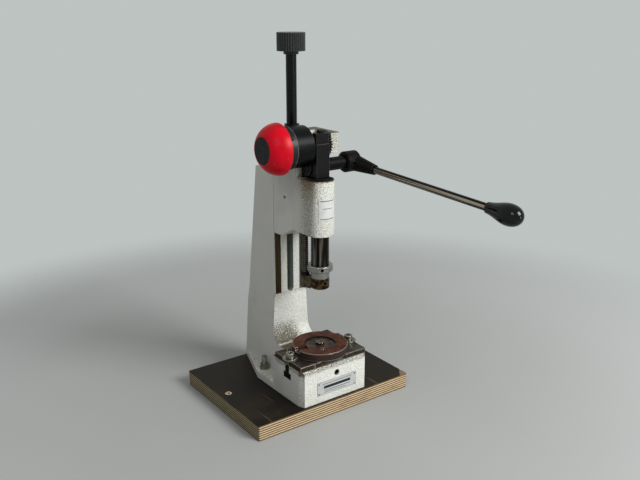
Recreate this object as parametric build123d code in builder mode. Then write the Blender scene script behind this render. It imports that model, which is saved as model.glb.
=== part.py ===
"""Bench hand lever press with a rack-and-pinion ram, on a plywood board.

Frame: millimetres, +Z up, origin on the board's underside straight below the
ram's axis. The operator stands at -Y and the lever is on the +X side.
"""
import math
import os

from build123d import *

os.makedirs("parts", exist_ok=True)

# ------------------------------------------------------------ driving sizes
# Fits and clearances
run_fit = 0.05          # radial, a shaft or slide that moves in its seat
turn_gap = 0.3          # between curved faces of two moving bodies
bolt_gap = 0.3          # radial, a screw in its through hole
lap = 1.0               # a cut past its face, or a form into its own body
socket_share = 0.5      # a socket screw's key, across its head
key_depth_share = 0.55        # and down into it
screw_edge_share = 0.08
grub_key = 0.55

# Plywood board
board_w = 217.5
board_d = 167.0
board_t = 18.0
board_left = 108.0      # left edge from the ram's axis
board_front = 34.4      # front edge from the ram's axis
board_corner_r = 2.0
board_hole_r = 2.25     # wood screw hole near each short edge
board_hole_inset = 11.5
board_hole_y = 52.0

# Frame casting: base block, foot and column
base_w = 94.2
base_front = 30.6
base_back = 31.0
base_h = 44.0
base_bevel_side = 3.4
base_bevel_front = 7.4
base_top_bevel = 2.0
foot_t = 8.0
foot_straight_y = 66.0
foot_back_y = 132.0
foot_tail_w = 47.0
throat = 61.3           # ram's axis to the guide's front face
column_h = 214.0        # above the table
column_back_top = 99.0
column_back_slope = 0.132
column_foot_w = 59.0
column_tail_w = 47.0
column_shoulder_drop = 5.0
column_shoulder_out = 0.8
column_root = 6.0      # column runs this far into the base block
throat_fillet_r = 18.0
rail_w = 26.8
rail_undercut = 3.0
rail_depth = 8.0
rail_groove_w = 8.1
rail_rim = 0.9
rail_rise = 61.7        # guide's lower end above the table
rail_slot_w = 8.8
rail_slot_depth = 12.0
slot_neck_w = 8.0
slot_foot_w = 15.0
slot_neck_h = 10.0
slot_foot_h = 8.0

# Board bolts
bolt_x = 35.0
bolt_y = 69.5
bolt_r = 3.0
bolt_head_r = 8.0
bolt_head_h = 3.0
bolt_proud = 10.0       # thread above the nut
spot_face_gap = 0.5     # round each washer, where the column flares
nut_af = 10.0
nut_h = 5.0
washer_r = 6.0
washer_t = 1.6

# Table plate, clamps and anvil
plate_side = 0.6        # plate's side edge in from the block's
plate_front = 27.5
plate_back = 26.0
plate_t = 6.0
notch_w = 36.0
notch_depth = 4.0
clamp_inset = 4.6       # clamp screw's axis in from the block's side
clamp_slot_y = 9.0
clamp_washer_r = 9.0
clamp_washer_t = 1.6
clamp_screw_r = 3.0
clamp_head_r = 5.0
clamp_head_h = 6.0
clamp_screw_short = 1.5  # screw's end above the slot's floor
tnut_l = 14.0
tnut_under = 0.6
tnut_foot_play = 1.0
tnut_neck_play = 0.4
tnut_low = 3.0          # nut's top below the table
plate_edge = 0.8
disc_r = 33.0
disc_t = 9.0
disc_recess_r = 18.0
disc_recess_depth = 3.5
disc_slot_w = 9.0
disc_edge = 0.6
insert_t = 2.0
pivot_r = 5.0
pivot_proud = 2.0
pivot_depth = 3.0
small_screw_r = 2.0
small_screw_ring = 14.5
small_screw_angle = 245.0
small_screw_head = 1.0
small_screw_edge = 0.3

# Front face details
label_w = 56.0
label_h = 17.0
label_t = 0.6
label_x = 2.0
label_drop = 26.5       # plate's centre below the table
rivet_r = 0.9
rivet_h = 0.5
rivet_inset = 2.2
plug_r = 2.9
plug_l = 9.0
plug_drop = 11.7
plug_sunk = 0.5

# Ram
daylight = 70.0         # anvil to ram nose at rest
ram_r = 10.5
nose_r = 10.9
nose_l = 13.0
band_l = 8.0
collar_r = 14.8
collar_l = 7.5
ram_out = 64.0          # ram nose below the housing at rest
ram_round_below_top = 6.5
bar_w = 17.2
bar_front = 6.0
bar_top_rise = 51.5     # flat bar's top above the housing
bar_step = 12.0
bar_step_cut = 1.2
bar_button_r = 4.5
bar_button_h = 3.5
bar_button_edge = 0.8
bar_side_gap = 0.9      # flat bar to the left arm
nose_edge = 1.0
tool_bore_r = 5.0
tool_bore_l = 22.0
tool_screw_r = 2.0
tool_screw_rise = 7.0
collar_screw_turn = -116.0   # degrees round the ram's axis
collar_screw_sunk = 0.4
collar_edge = 0.8
tool_screw_sunk = 0.8
tool_screw_end = 0.4    # screw's end short of the bore
stroke = 28.0

# Stop rod beside the ram
rod_r = 4.0
rod_pitch = 2.5
rod_thread_depth = 0.7
rod_x = -8.2
rod_gap = 0.9           # rod's crest to the stop collar
arm_w = 8.0
arm_boss_r = 5.6
arm_h = 14.5
arm_drop = 2.5          # arm's underside below the nose
rod_below_top = 9.5     # rod's top below the housing's top
rod_end_room = 3.0      # its bore above the rod's top
rod_nut_r = 5.4
rod_nut_h = 4.5
crest_share = 0.2       # flat crest, of the pitch
root_share = 0.6        # where the thread is deepest

# Gears
gear_module = 1.0
pinion_teeth = 20
wheel_teeth = 29
rack_line = 2.0         # rack's pitch line behind the ram's axis
backlash = 0.16
pinion_w = 10.0
side_gear_w = 5.0
side_gap = 0.5
pressure_angle = 20.0
addendum_share = 0.95
dedendum_share = 1.25
flank_steps = 4
root_round = 0.02       # radians, the flank's foot
rack_over = 0.5
rack_land = 3.0         # bar without teeth at its top

# Head casting
housing_h = 63.5
housing_r = 16.0
flank_front_y = 33.0    # the slide plate narrows to the web between these two
flank_back_y = 51.2
head_drop = 9.0         # slide plate's lower edge below the housing
head_slope_y = 46.0     # where the underside starts to rise to the web
head_rise = 15.5        # slide plate's top above the housing
body_front_y = 23.6
nut_room_w = 18.4
nut_room_depth = 13.2
spindle_y = 54.6
bush_wall = 2.0
bush_l = 15.0
ear_w = 10.5
ear_front_y = 3.0
ear_h = 23.0
ear_above_shaft = 12.9
ear_gap = 2.3           # between the right arm and the large gear
ear_back_y = 48.0
thrust_room = 1.0       # below the lower thrust collar
left_arm_t = 3.9
jaw_screw_r = 2.0
jaw_head_r = 3.5
jaw_head_h = 4.0
jaw_h = 74.0            # loose jaw, up from the slide plate's lower edge
jaw_screw_low = 15.0
jaw_screw_high = 12.0
jaw_screw_short = 1.0
jaw_side_gap = 0.2
jaw_back_gap = 0.3
jaw_screw_x = 17.6
jaw_screw_y = 48.5      # seat of each screw's head
flank_screw_r = 1.8
flank_screw_x = 19.3
flank_screw_l = 9.0
flank_screw_rise = 37.0  # above the housing's lower edge
sticker_t = 0.2
sticker_turn = 78.0
sticker_from = -132.0   # degrees round the ram's axis
sticker_h = 25.5
sticker_rise = 18.5     # above the housing's lower edge

# Bearing yoke and lever
lever_rise = 12.1       # lever shaft above the housing's top
yoke_r = 15.5
yoke_t = 2.5
yoke_left_t = 3.0
yoke_right_t = 4.0
yoke_boss_r = 10.4
shaft_r = 7.5
shaft_bush_wall = 1.0
shaft_ring_t = 1.5
shaft_end = 1.6         # shaft beyond the yoke's left cheek
shaft_ring_out = 2.0
yoke_back_gap = 0.2
hub_x = 41.0            # hub's inner face
hub_l = 19.5
hub_r = 12.0
hub_edge = 2.0
hub_end_wall = 3.0
hub_pin_x = 6.0
hub_pin_r = 2.0
hub_pin_sunk = 1.0
hub_root_x = 11.2       # forged arm's root from the hub's inner face
hub_root_r = 10.5
hub_arm_r = 5.8
hub_arm_l = 31.0
hub_socket_l = 8.0      # rod inside the forged arm
lever_x = 63.0
lever_droop = 2.6
lever_drop = 5.2        # rod's axis below the shaft's
lever_r = 4.0
lever_l = 201.0         # shaft's axis to the knob's neck
lever_tang = 12.0       # rod inside the knob
knob_l = 42.0
knob_r = 11.0
knob_neck_r = 5.8
flare_at_share = 0.3     # shares of the knob's length and radius
flare_share = 0.76
full_at_share = 0.66
nose_at_share = 0.93
nose_share = 0.62
flare_slope_share = 0.1

# Spring drum
drum_shaft_r = 5.0
drum_r = 23.0
drum_l = 22.9
drum_wall = 3.5
drum_end_wall = 4.0
drum_edge = 0.6
ring_r = 24.0
ring_l = 9.7
ring_bore_r = 18.0
ring_floor = 3.0
nib_w = 9.0
nib_h = 5.0
nib_corner_r = 1.0
ring_screw_r = 1.5
ring_screw_h = 0.8
ring_screw_edge = 0.2
ring_screw_turn = 118.0  # degrees round the drum's axis
ring_screw_step = 30.0
ring_screw_share = 0.45    # share of the ring's width
spigot_r = 21.0
spigot_l = 6.0
dome_r = 28.4
belly_at_share = 0.58    # shares of the dome's length and radius
belly_share = 0.885
dome_l = 21.0
dome_face_r = 16.0
cap_r = 15.0
cap_t = 1.6
cap_proud = 0.4
cap_edge = 0.3
cap_hole_r = 0.8
spring_t = 0.6
spring_w = 14.0
spring_turns = 6
arbor_r = 7.0
arbor_inset = 1.0
arbor_short = 1.5
spring_inset = 2.0
drum_shaft_out = 3.5
drum_shaft_sunk = 1.0

# Elevating spindle
spindle_r = 6.0
spindle_lead = 3.0
spindle_top_rise = 155.5   # knob's top above the housing's top
spindle_knob_r = 16.0
spindle_knob_h = 20.0
knob_flutes = 36
knob_flute_r = 0.9
flute_out_share = 0.4    # flute's centre outside the rim, of its radius
knob_bore_share = 0.6   # spindle inside the knob, of its height
neck_r = 8.5
neck_h = 3.5
thrust_r = 8.6
thrust_h = 5.0
thrust_wall = 14.0       # casting between the two thrust collars
nut_below_top = 44.5    # spindle nut's underside below the housing's top
spindle_nut_h = 12.0
tongue_end_gap = 1.0    # nut's tongue in the column's slot
tongue_side_gap = 0.1
thread_end_below = 62.5  # spindle's lower end below the housing's top
head_up = 20.0
head_down = 24.0

# ------------------------------------------------------------ levels and places
plate_w = base_w - 2 * plate_side
clamp_x = base_w / 2 - clamp_inset
table_z = board_t + base_h
foot_z = board_t + foot_t
plate_z = table_z + plate_t
anvil_z = plate_z + disc_t
nose_z = anvil_z + daylight
housing_z = nose_z + ram_out
housing_top = housing_z + housing_h
column_top = table_z + column_h
rail_z = table_z + rail_rise
pinion_pitch_r = gear_module * pinion_teeth / 2
wheel_pitch_r = gear_module * wheel_teeth / 2
pinion_tip_r = pinion_pitch_r + gear_module
wheel_tip_r = wheel_pitch_r + gear_module
shaft_y = rack_line + pinion_pitch_r
lever_z = housing_top + lever_rise
drum_z = lever_z + pinion_pitch_r + wheel_pitch_r
rail_half = rail_w / 2
groove_out = rail_half + rail_groove_w
column_half = groove_out + rail_rim
head_z = housing_z - head_drop
jaw_top = head_z + jaw_h
head_top = housing_top + head_rise
head_back_y = throat - run_fit
ear_top = drum_z + ear_above_shaft
ear_z = ear_top - ear_h
bar_half = bar_w / 2
bar_back = rack_line + gear_module
bush_r = ram_r + run_fit + bush_wall
rod_y = math.sqrt((collar_r + rod_r + rod_gap) ** 2 - rod_x ** 2)
shaft_bush_r = shaft_r + run_fit + shaft_bush_wall


def facing_x(x, y, z):
    """Plane at a point, looking along +X: its own x is Y and its own y is Z."""
    return Plane(origin=(x, y, z), x_dir=(0, 1, 0), z_dir=(1, 0, 0))


def facing_front(x, y, z):
    """Plane at a point, looking along -Y: its own x is X and its own y is Z."""
    return Plane(origin=(x, y, z), x_dir=(1, 0, 0), z_dir=(0, -1, 0))


def facing_out(turn, radius, z):
    """Plane that touches a cylinder round the ram's axis: it looks outwards at a turn in degrees."""
    out = Vector(math.cos(math.radians(turn)), math.sin(math.radians(turn)), 0)
    return Plane(origin=out * radius + Vector(0, 0, z), x_dir=(0, 0, 1), z_dir=out)


def level(z, x=0.0, y=0.0):
    """Level plane at a point."""
    return Plane(origin=(x, y, z))


def save(piece, name):
    """Label a finished piece and write it as its own STEP file."""
    piece.part.label = name
    export_step(piece.part, "parts/" + name + ".step")


def round_bar(seat, radius, length, bore=0.0, edge=0.0):
    """Bar or tube that stands on a plane, with its far edges broken."""
    with BuildPart() as bar:
        with BuildSketch(seat):
            Circle(radius)
        extrude(amount=length)
        if edge > 0:
            chamfer(bar.edges().filter_by(GeomType.CIRCLE), length=edge)
        if bore > 0:
            with BuildSketch(seat):
                Circle(bore)
            extrude(amount=length, mode=Mode.SUBTRACT)
    return bar.part


def socket_screw(seat, radius, length, head_r, head_h):
    """Socket head cap screw: its head stands on the plane, its shank goes down."""
    with BuildPart() as screw:
        with BuildSketch(seat):
            Circle(head_r)
        extrude(amount=head_h)
        chamfer(screw.edges().filter_by(GeomType.CIRCLE), length=head_h * screw_edge_share)
        with BuildSketch(seat):
            Circle(radius)
        extrude(amount=-length)
        with BuildSketch(seat.offset(head_h)):
            RegularPolygon(radius=head_r * socket_share, side_count=6, major_radius=False)
        extrude(amount=-head_h * key_depth_share, mode=Mode.SUBTRACT)
    return screw.part


def grub_screw(face, radius, length):
    """Headless screw: its socket face lies on the plane, its body goes down."""
    with BuildPart() as grub:
        with BuildSketch(face):
            Circle(radius)
        extrude(amount=-length)
        with BuildSketch(face):
            RegularPolygon(radius=radius * grub_key, side_count=6, major_radius=False)
        extrude(amount=-min(length / 2, radius), mode=Mode.SUBTRACT)
    return grub.part


def gear_points(teeth, first_tooth):
    """Corners of a spur gear's outline: involute flanks, one tooth at first_tooth degrees."""
    pitch_r = gear_module * teeth / 2
    base_r = pitch_r * math.cos(math.radians(pressure_angle))
    tip_r = pitch_r + gear_module * addendum_share
    root_r = pitch_r - gear_module * dedendum_share
    half_tooth = (math.pi * gear_module / 2 - backlash / 2) / (2 * pitch_r)
    inv_pitch = math.tan(math.radians(pressure_angle)) - math.radians(pressure_angle)
    flank = []
    for step in range(flank_steps + 1):
        radius = max(base_r, root_r) + (tip_r - max(base_r, root_r)) * step / flank_steps
        roll = math.acos(base_r / radius)
        flank.append((radius, half_tooth + inv_pitch - (math.tan(roll) - roll)))
    flank.insert(0, (root_r, flank[0][1] + root_round))
    corners = []
    for tooth in range(teeth):
        middle = math.radians(first_tooth) + 2 * math.pi * tooth / teeth
        sides = [(r, middle - a) for r, a in flank]
        sides += [(r, middle + a) for r, a in reversed(flank)]
        corners += [(r * math.cos(a), r * math.sin(a)) for r, a in sides]
    return corners


def spur_gear(seat, teeth, width, bore, first_tooth):
    """Spur gear that stands on a plane."""
    with BuildPart() as gear:
        with BuildSketch(seat):
            with BuildLine():
                Polyline(*gear_points(teeth, first_tooth), close=True)
            make_face()
            Circle(bore, mode=Mode.SUBTRACT)
        extrude(amount=width)
    return gear.part


# ------------------------------------------------------------ board and its bolts
board_mid_x = board_w / 2 - board_left
board_mid_y = board_d / 2 - board_front
board_holes = [(-board_left + board_hole_inset, board_hole_y),
               (board_w - board_left - board_hole_inset, board_hole_y)]
bolt_places = [(-bolt_x, bolt_y), (bolt_x, bolt_y)]

with BuildPart() as board:
    with BuildSketch(level(0)):
        with Locations((board_mid_x, board_mid_y)):
            RectangleRounded(board_w, board_d, board_corner_r)
    extrude(amount=board_t)
    with BuildSketch(level(0)):
        with Locations(*board_holes):
            Circle(board_hole_r)
        with Locations(*bolt_places):
            Circle(bolt_r + bolt_gap)
    extrude(amount=board_t, mode=Mode.SUBTRACT)
    with BuildSketch(level(0)):
        with Locations(*bolt_places):
            Circle(bolt_head_r + bolt_gap)
    extrude(amount=bolt_head_h, mode=Mode.SUBTRACT)
save(board, "plywood_board")

nut_seat_z = foot_z + washer_t
bolt_top_z = nut_seat_z + nut_h + bolt_proud
with BuildPart() as board_bolts:
    with BuildSketch(level(0)):
        with Locations(*bolt_places):
            Circle(bolt_head_r)
    extrude(amount=bolt_head_h)
    with BuildSketch(level(0)):
        with Locations(*bolt_places):
            Circle(bolt_r)
    extrude(amount=bolt_top_z)
save(board_bolts, "board_bolts")

with BuildPart() as board_washers:
    with BuildSketch(level(foot_z)):
        with Locations(*bolt_places):
            Circle(washer_r)
            Circle(bolt_r + run_fit, mode=Mode.SUBTRACT)
    extrude(amount=washer_t)
save(board_washers, "board_washers")

with BuildPart() as board_nuts:
    with BuildSketch(level(nut_seat_z)):
        with Locations(*bolt_places):
            RegularPolygon(radius=nut_af / 2, side_count=6, major_radius=False)
            Circle(bolt_r + run_fit, mode=Mode.SUBTRACT)
    extrude(amount=nut_h)
save(board_nuts, "board_nuts")

# ------------------------------------------------------------ frame casting
column_front = base_back - column_root
column_back_foot = column_back_top + column_back_slope * (column_top - foot_z)
shoulder_z = rail_z - column_shoulder_drop
slot_top_z = table_z
slot_mid_z = table_z - slot_neck_h
slot_low_z = slot_mid_z - slot_foot_h
base_half = base_w / 2


def rail_side(sign):
    """Outline of one guide groove: open at the front, undercut behind the rail."""
    front = throat - lap
    back = throat + rail_depth
    return [(sign * groove_out, front), (sign * groove_out, back),
            (sign * (rail_half - rail_undercut), back), (sign * rail_half, throat),
            (sign * rail_half, front)]


with BuildPart() as frame:
    # Column: its side outline, then trimmed to its front outline
    with BuildSketch(Plane.YZ.offset(-column_foot_w)):
        with BuildLine():
            Polyline((column_front, board_t), (column_front, table_z), (throat, table_z),
                     (throat, column_top), (column_back_top, column_top),
                     (column_back_foot, foot_z), (column_back_foot, board_t), close=True)
        make_face()
    extrude(amount=2 * column_foot_w)
    throat_edge = frame.edges().filter_by(Axis.X).filter_by_position(
        Axis.Y, throat - run_fit, throat + run_fit).sort_by(Axis.Z)[0]
    fillet(throat_edge, radius=throat_fillet_r)
    with BuildSketch(facing_front(0, foot_back_y + lap, 0)):
        with BuildLine():
            Polyline((-column_foot_w / 2, board_t), (-column_half - column_shoulder_out, shoulder_z),
                     (-column_half, column_top), (column_half, column_top),
                     (column_half + column_shoulder_out, shoulder_z), (column_foot_w / 2, board_t),
                     close=True)
        make_face()
    extrude(amount=foot_back_y + base_front, mode=Mode.INTERSECT)
    with BuildSketch(level(board_t)):
        with BuildLine():
            Polyline((-column_foot_w / 2, column_front), (-column_foot_w / 2, throat),
                     (-column_tail_w / 2, column_back_foot), (column_tail_w / 2, column_back_foot),
                     (column_foot_w / 2, throat), (column_foot_w / 2, column_front), close=True)
        make_face()
    extrude(amount=column_top, mode=Mode.INTERSECT)
    # Foot that spreads the column over the board
    with BuildSketch(level(board_t)):
        with BuildLine():
            Polyline((-base_half, 0), (-base_half, foot_straight_y),
                     (-foot_tail_w / 2, foot_back_y), (foot_tail_w / 2, foot_back_y),
                     (base_half, foot_straight_y), (base_half, 0), close=True)
        make_face()
    extrude(amount=foot_t)
    # Base block with its bevelled corners
    with BuildSketch(level(board_t)):
        with BuildLine():
            Polyline((-base_half, base_back), (-base_half, -base_front + base_bevel_front),
                     (-base_half + base_bevel_side, -base_front),
                     (base_half - base_bevel_side, -base_front),
                     (base_half, -base_front + base_bevel_front), (base_half, base_back), close=True)
        make_face()
    extrude(amount=base_h)
    front_top = frame.edges().filter_by(Axis.X).group_by(Axis.Y)[0].sort_by(Axis.Z)[-1]
    chamfer(front_top, length=base_top_bevel)
    # Guide grooves and the slot for the spindle nut
    for side in (-1, 1):
        with BuildSketch(level(rail_z)):
            with BuildLine():
                Polyline(*rail_side(side), close=True)
            make_face()
        extrude(amount=column_top - rail_z + lap, mode=Mode.SUBTRACT)
    with BuildSketch(facing_front(0, throat - lap, 0)):
        with Locations((0, (rail_z + column_top + rail_slot_w) / 2)):
            SlotOverall(column_top - rail_z + rail_slot_w, rail_slot_w, rotation=90)
    extrude(amount=-rail_slot_depth - lap, mode=Mode.SUBTRACT)
    # T-slot across the table
    with BuildSketch(Plane.YZ.offset(-base_half - lap)):
        with Locations((0, slot_mid_z + slot_neck_h / 2)):
            Rectangle(slot_neck_w, slot_neck_h)
        with Locations((0, slot_mid_z - slot_foot_h / 2)):
            Rectangle(slot_foot_w, slot_foot_h)
    extrude(amount=base_w + 2 * lap, mode=Mode.SUBTRACT)
    # Plug hole in the front, pivot hole in the table and the two bolt holes
    with BuildSketch(facing_front(label_x, -base_front, table_z - plug_drop)):
        Circle(plug_r)
    extrude(amount=-plug_l, mode=Mode.SUBTRACT)
    with BuildSketch(level(board_t)):
        with Locations(*bolt_places):
            Circle(bolt_r + bolt_gap)
    extrude(amount=foot_t, mode=Mode.SUBTRACT)
    # Spot face over each bolt, where the column flares
    with BuildSketch(level(foot_z)):
        with Locations(*bolt_places):
            Circle(washer_r + spot_face_gap)
    extrude(amount=washer_t + nut_h + bolt_proud, mode=Mode.SUBTRACT)
save(frame, "frame_casting")

plug_face = facing_front(label_x, plug_sunk - base_front, table_z - plug_drop)
front_plug = grub_screw(plug_face, plug_r, plug_l - plug_sunk)
with BuildPart() as plug:
    add(front_plug)
save(plug, "front_plug")

label_z = table_z - label_drop
rivet_x = label_w / 2 - rivet_inset
rivet_z = label_h / 2 - rivet_inset
with BuildPart() as label_plate:
    with BuildSketch(facing_front(label_x, -base_front, label_z)):
        Rectangle(label_w, label_h)
    extrude(amount=label_t)
save(label_plate, "label_plate")

with BuildPart() as label_rivets:
    with BuildSketch(facing_front(label_x, -base_front - label_t, label_z)):
        with GridLocations(2 * rivet_x, 2 * rivet_z, 2, 2):
            Circle(rivet_r)
    extrude(amount=rivet_h)
save(label_rivets, "label_rivets")

# ------------------------------------------------------------ table plate and anvil
plate_mid_y = (plate_back - plate_front) / 2
pivot_z = plate_z - pivot_depth
with BuildPart() as table_plate:
    with BuildSketch(level(table_z)):
        with Locations((0, plate_mid_y)):
            Rectangle(plate_w, plate_front + plate_back)
        with BuildLine():
            Polyline((-notch_w / 2, -plate_front), (-notch_w / 2 + notch_depth, -plate_front + notch_depth),
                     (notch_w / 2 - notch_depth, -plate_front + notch_depth),
                     (notch_w / 2, -plate_front), close=True)
        make_face(mode=Mode.SUBTRACT)
        with Locations((-clamp_x, 0), (clamp_x, 0)):
            SlotOverall(clamp_slot_y, 2 * (clamp_screw_r + bolt_gap))
    extrude(amount=plate_t)
    with BuildSketch(level(table_z)):
        with Locations((-clamp_x, 0), (clamp_x, 0)):
            SlotOverall(clamp_slot_y, 2 * (clamp_screw_r + bolt_gap))
    extrude(amount=plate_t, mode=Mode.SUBTRACT)
    with BuildSketch(level(pivot_z)):
        Circle(pivot_r)
    extrude(amount=pivot_depth, mode=Mode.SUBTRACT)
    front_edges = table_plate.edges().filter_by(Axis.X).group_by(Axis.Z)[-1].group_by(Axis.Y)[0]
    chamfer(front_edges, length=plate_edge)
save(table_plate, "table_plate")

with BuildPart() as clamp_washers:
    with BuildSketch(level(plate_z)):
        with Locations((-clamp_x, 0), (clamp_x, 0)):
            Circle(clamp_washer_r)
            Circle(clamp_screw_r + run_fit, mode=Mode.SUBTRACT)
    extrude(amount=clamp_washer_t)
save(clamp_washers, "clamp_washers")

clamp_seat_z = plate_z + clamp_washer_t
clamp_screw_l = clamp_seat_z - slot_low_z - clamp_screw_short
clamp_bolts = [socket_screw(level(clamp_seat_z, x), clamp_screw_r, clamp_screw_l, clamp_head_r, clamp_head_h)
               for x in (-clamp_x, clamp_x)]
with BuildPart() as clamp_screws:
    add(clamp_bolts)
save(clamp_screws, "clamp_screws")

with BuildPart() as slot_nuts:
    for x in (-clamp_x, clamp_x):
        tnut_l_here = min(tnut_l, 2 * (base_half - abs(x)))
        with BuildSketch(level(slot_low_z + tnut_under, x)):
            Rectangle(tnut_l_here, slot_foot_w - tnut_foot_play)
        extrude(amount=slot_foot_h - tnut_under)
        with BuildSketch(level(slot_mid_z, x)):
            Rectangle(tnut_l_here, slot_neck_w - tnut_neck_play)
        extrude(amount=slot_neck_h - tnut_low)
        with BuildSketch(level(slot_low_z, x)):
            Circle(clamp_screw_r + run_fit)
        extrude(amount=base_h, mode=Mode.SUBTRACT)
save(slot_nuts, "slot_nuts")

disc_floor_z = anvil_z - disc_recess_depth
with BuildPart() as anvil_disc:
    with BuildSketch(level(plate_z)):
        Circle(disc_r)
    extrude(amount=disc_t)
    chamfer(anvil_disc.edges().filter_by(GeomType.CIRCLE).group_by(Axis.Z)[-1], length=disc_edge)
    with BuildSketch(level(disc_floor_z)):
        Circle(disc_recess_r)
        with Locations((-disc_r / 2 - disc_slot_w, 0)):
            SlotOverall(disc_r, disc_slot_w)
    extrude(amount=disc_recess_depth, mode=Mode.SUBTRACT)
    with BuildSketch(level(plate_z)):
        Circle(pivot_r + run_fit)
    extrude(amount=disc_t, mode=Mode.SUBTRACT)
save(anvil_disc, "anvil_disc")

screw_turn = math.radians(small_screw_angle)
insert_screw_x = small_screw_ring * math.cos(screw_turn)
insert_screw_y = small_screw_ring * math.sin(screw_turn)
with BuildPart() as anvil_insert:
    with BuildSketch(level(disc_floor_z)):
        Circle(disc_recess_r - turn_gap)
        Circle(pivot_r + run_fit, mode=Mode.SUBTRACT)
        with Locations((insert_screw_x, insert_screw_y)):
            Circle(small_screw_r + run_fit, mode=Mode.SUBTRACT)
    extrude(amount=insert_t)
save(anvil_insert, "anvil_insert")

insert_screw = round_bar(level(disc_floor_z, insert_screw_x, insert_screw_y), small_screw_r,
                         insert_t + small_screw_head, edge=small_screw_edge)
with BuildPart() as disc_screw:
    add(insert_screw)
save(disc_screw, "anvil_insert_screw")

pivot_part = round_bar(level(pivot_z), pivot_r, anvil_z + pivot_proud - pivot_z, edge=disc_edge)
with BuildPart() as anvil_pivot:
    add(pivot_part)
save(anvil_pivot, "anvil_pivot")

# ------------------------------------------------------------ head casting
jaw_out = groove_out - jaw_side_gap
jaw_back = throat + rail_depth - jaw_back_gap
jaw_lean = rail_undercut * (jaw_back - throat) / rail_depth
left_arm_x = -bar_half - bar_side_gap
drum_face_x = left_arm_x - left_arm_t
gear_x = pinion_w / 2 + side_gap + yoke_right_t + side_gap
ear_x = gear_x + side_gear_w + ear_gap
spindle_room_front = head_back_y - nut_room_depth
flank_run = flank_back_y - flank_front_y
flank_in = column_half - housing_r
flank_screw_y = flank_front_y + flank_run * (flank_screw_x - housing_r) / flank_in
flank_seat = Plane(origin=(-flank_screw_x, flank_screw_y, housing_z + flank_screw_rise),
                   x_dir=(0, 0, 1), z_dir=(-flank_run, -flank_in, 0))
jaw_screw_zs = [head_z + jaw_screw_low, (head_z + jaw_top) / 2, jaw_top - jaw_screw_high]
rod_top_z = housing_top - rod_below_top
thrust_room_z = ear_top - thrust_wall - thrust_h - thrust_room


def jaw_outline(sign, back_of_plate):
    """Outline of a dovetail jaw that hooks behind the rail."""
    return [(sign * jaw_out, back_of_plate), (sign * jaw_out, jaw_back),
            (sign * (rail_half + run_fit - jaw_lean), jaw_back),
            (sign * (rail_half + run_fit), throat), (sign * (rail_half + run_fit), back_of_plate)]


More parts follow.
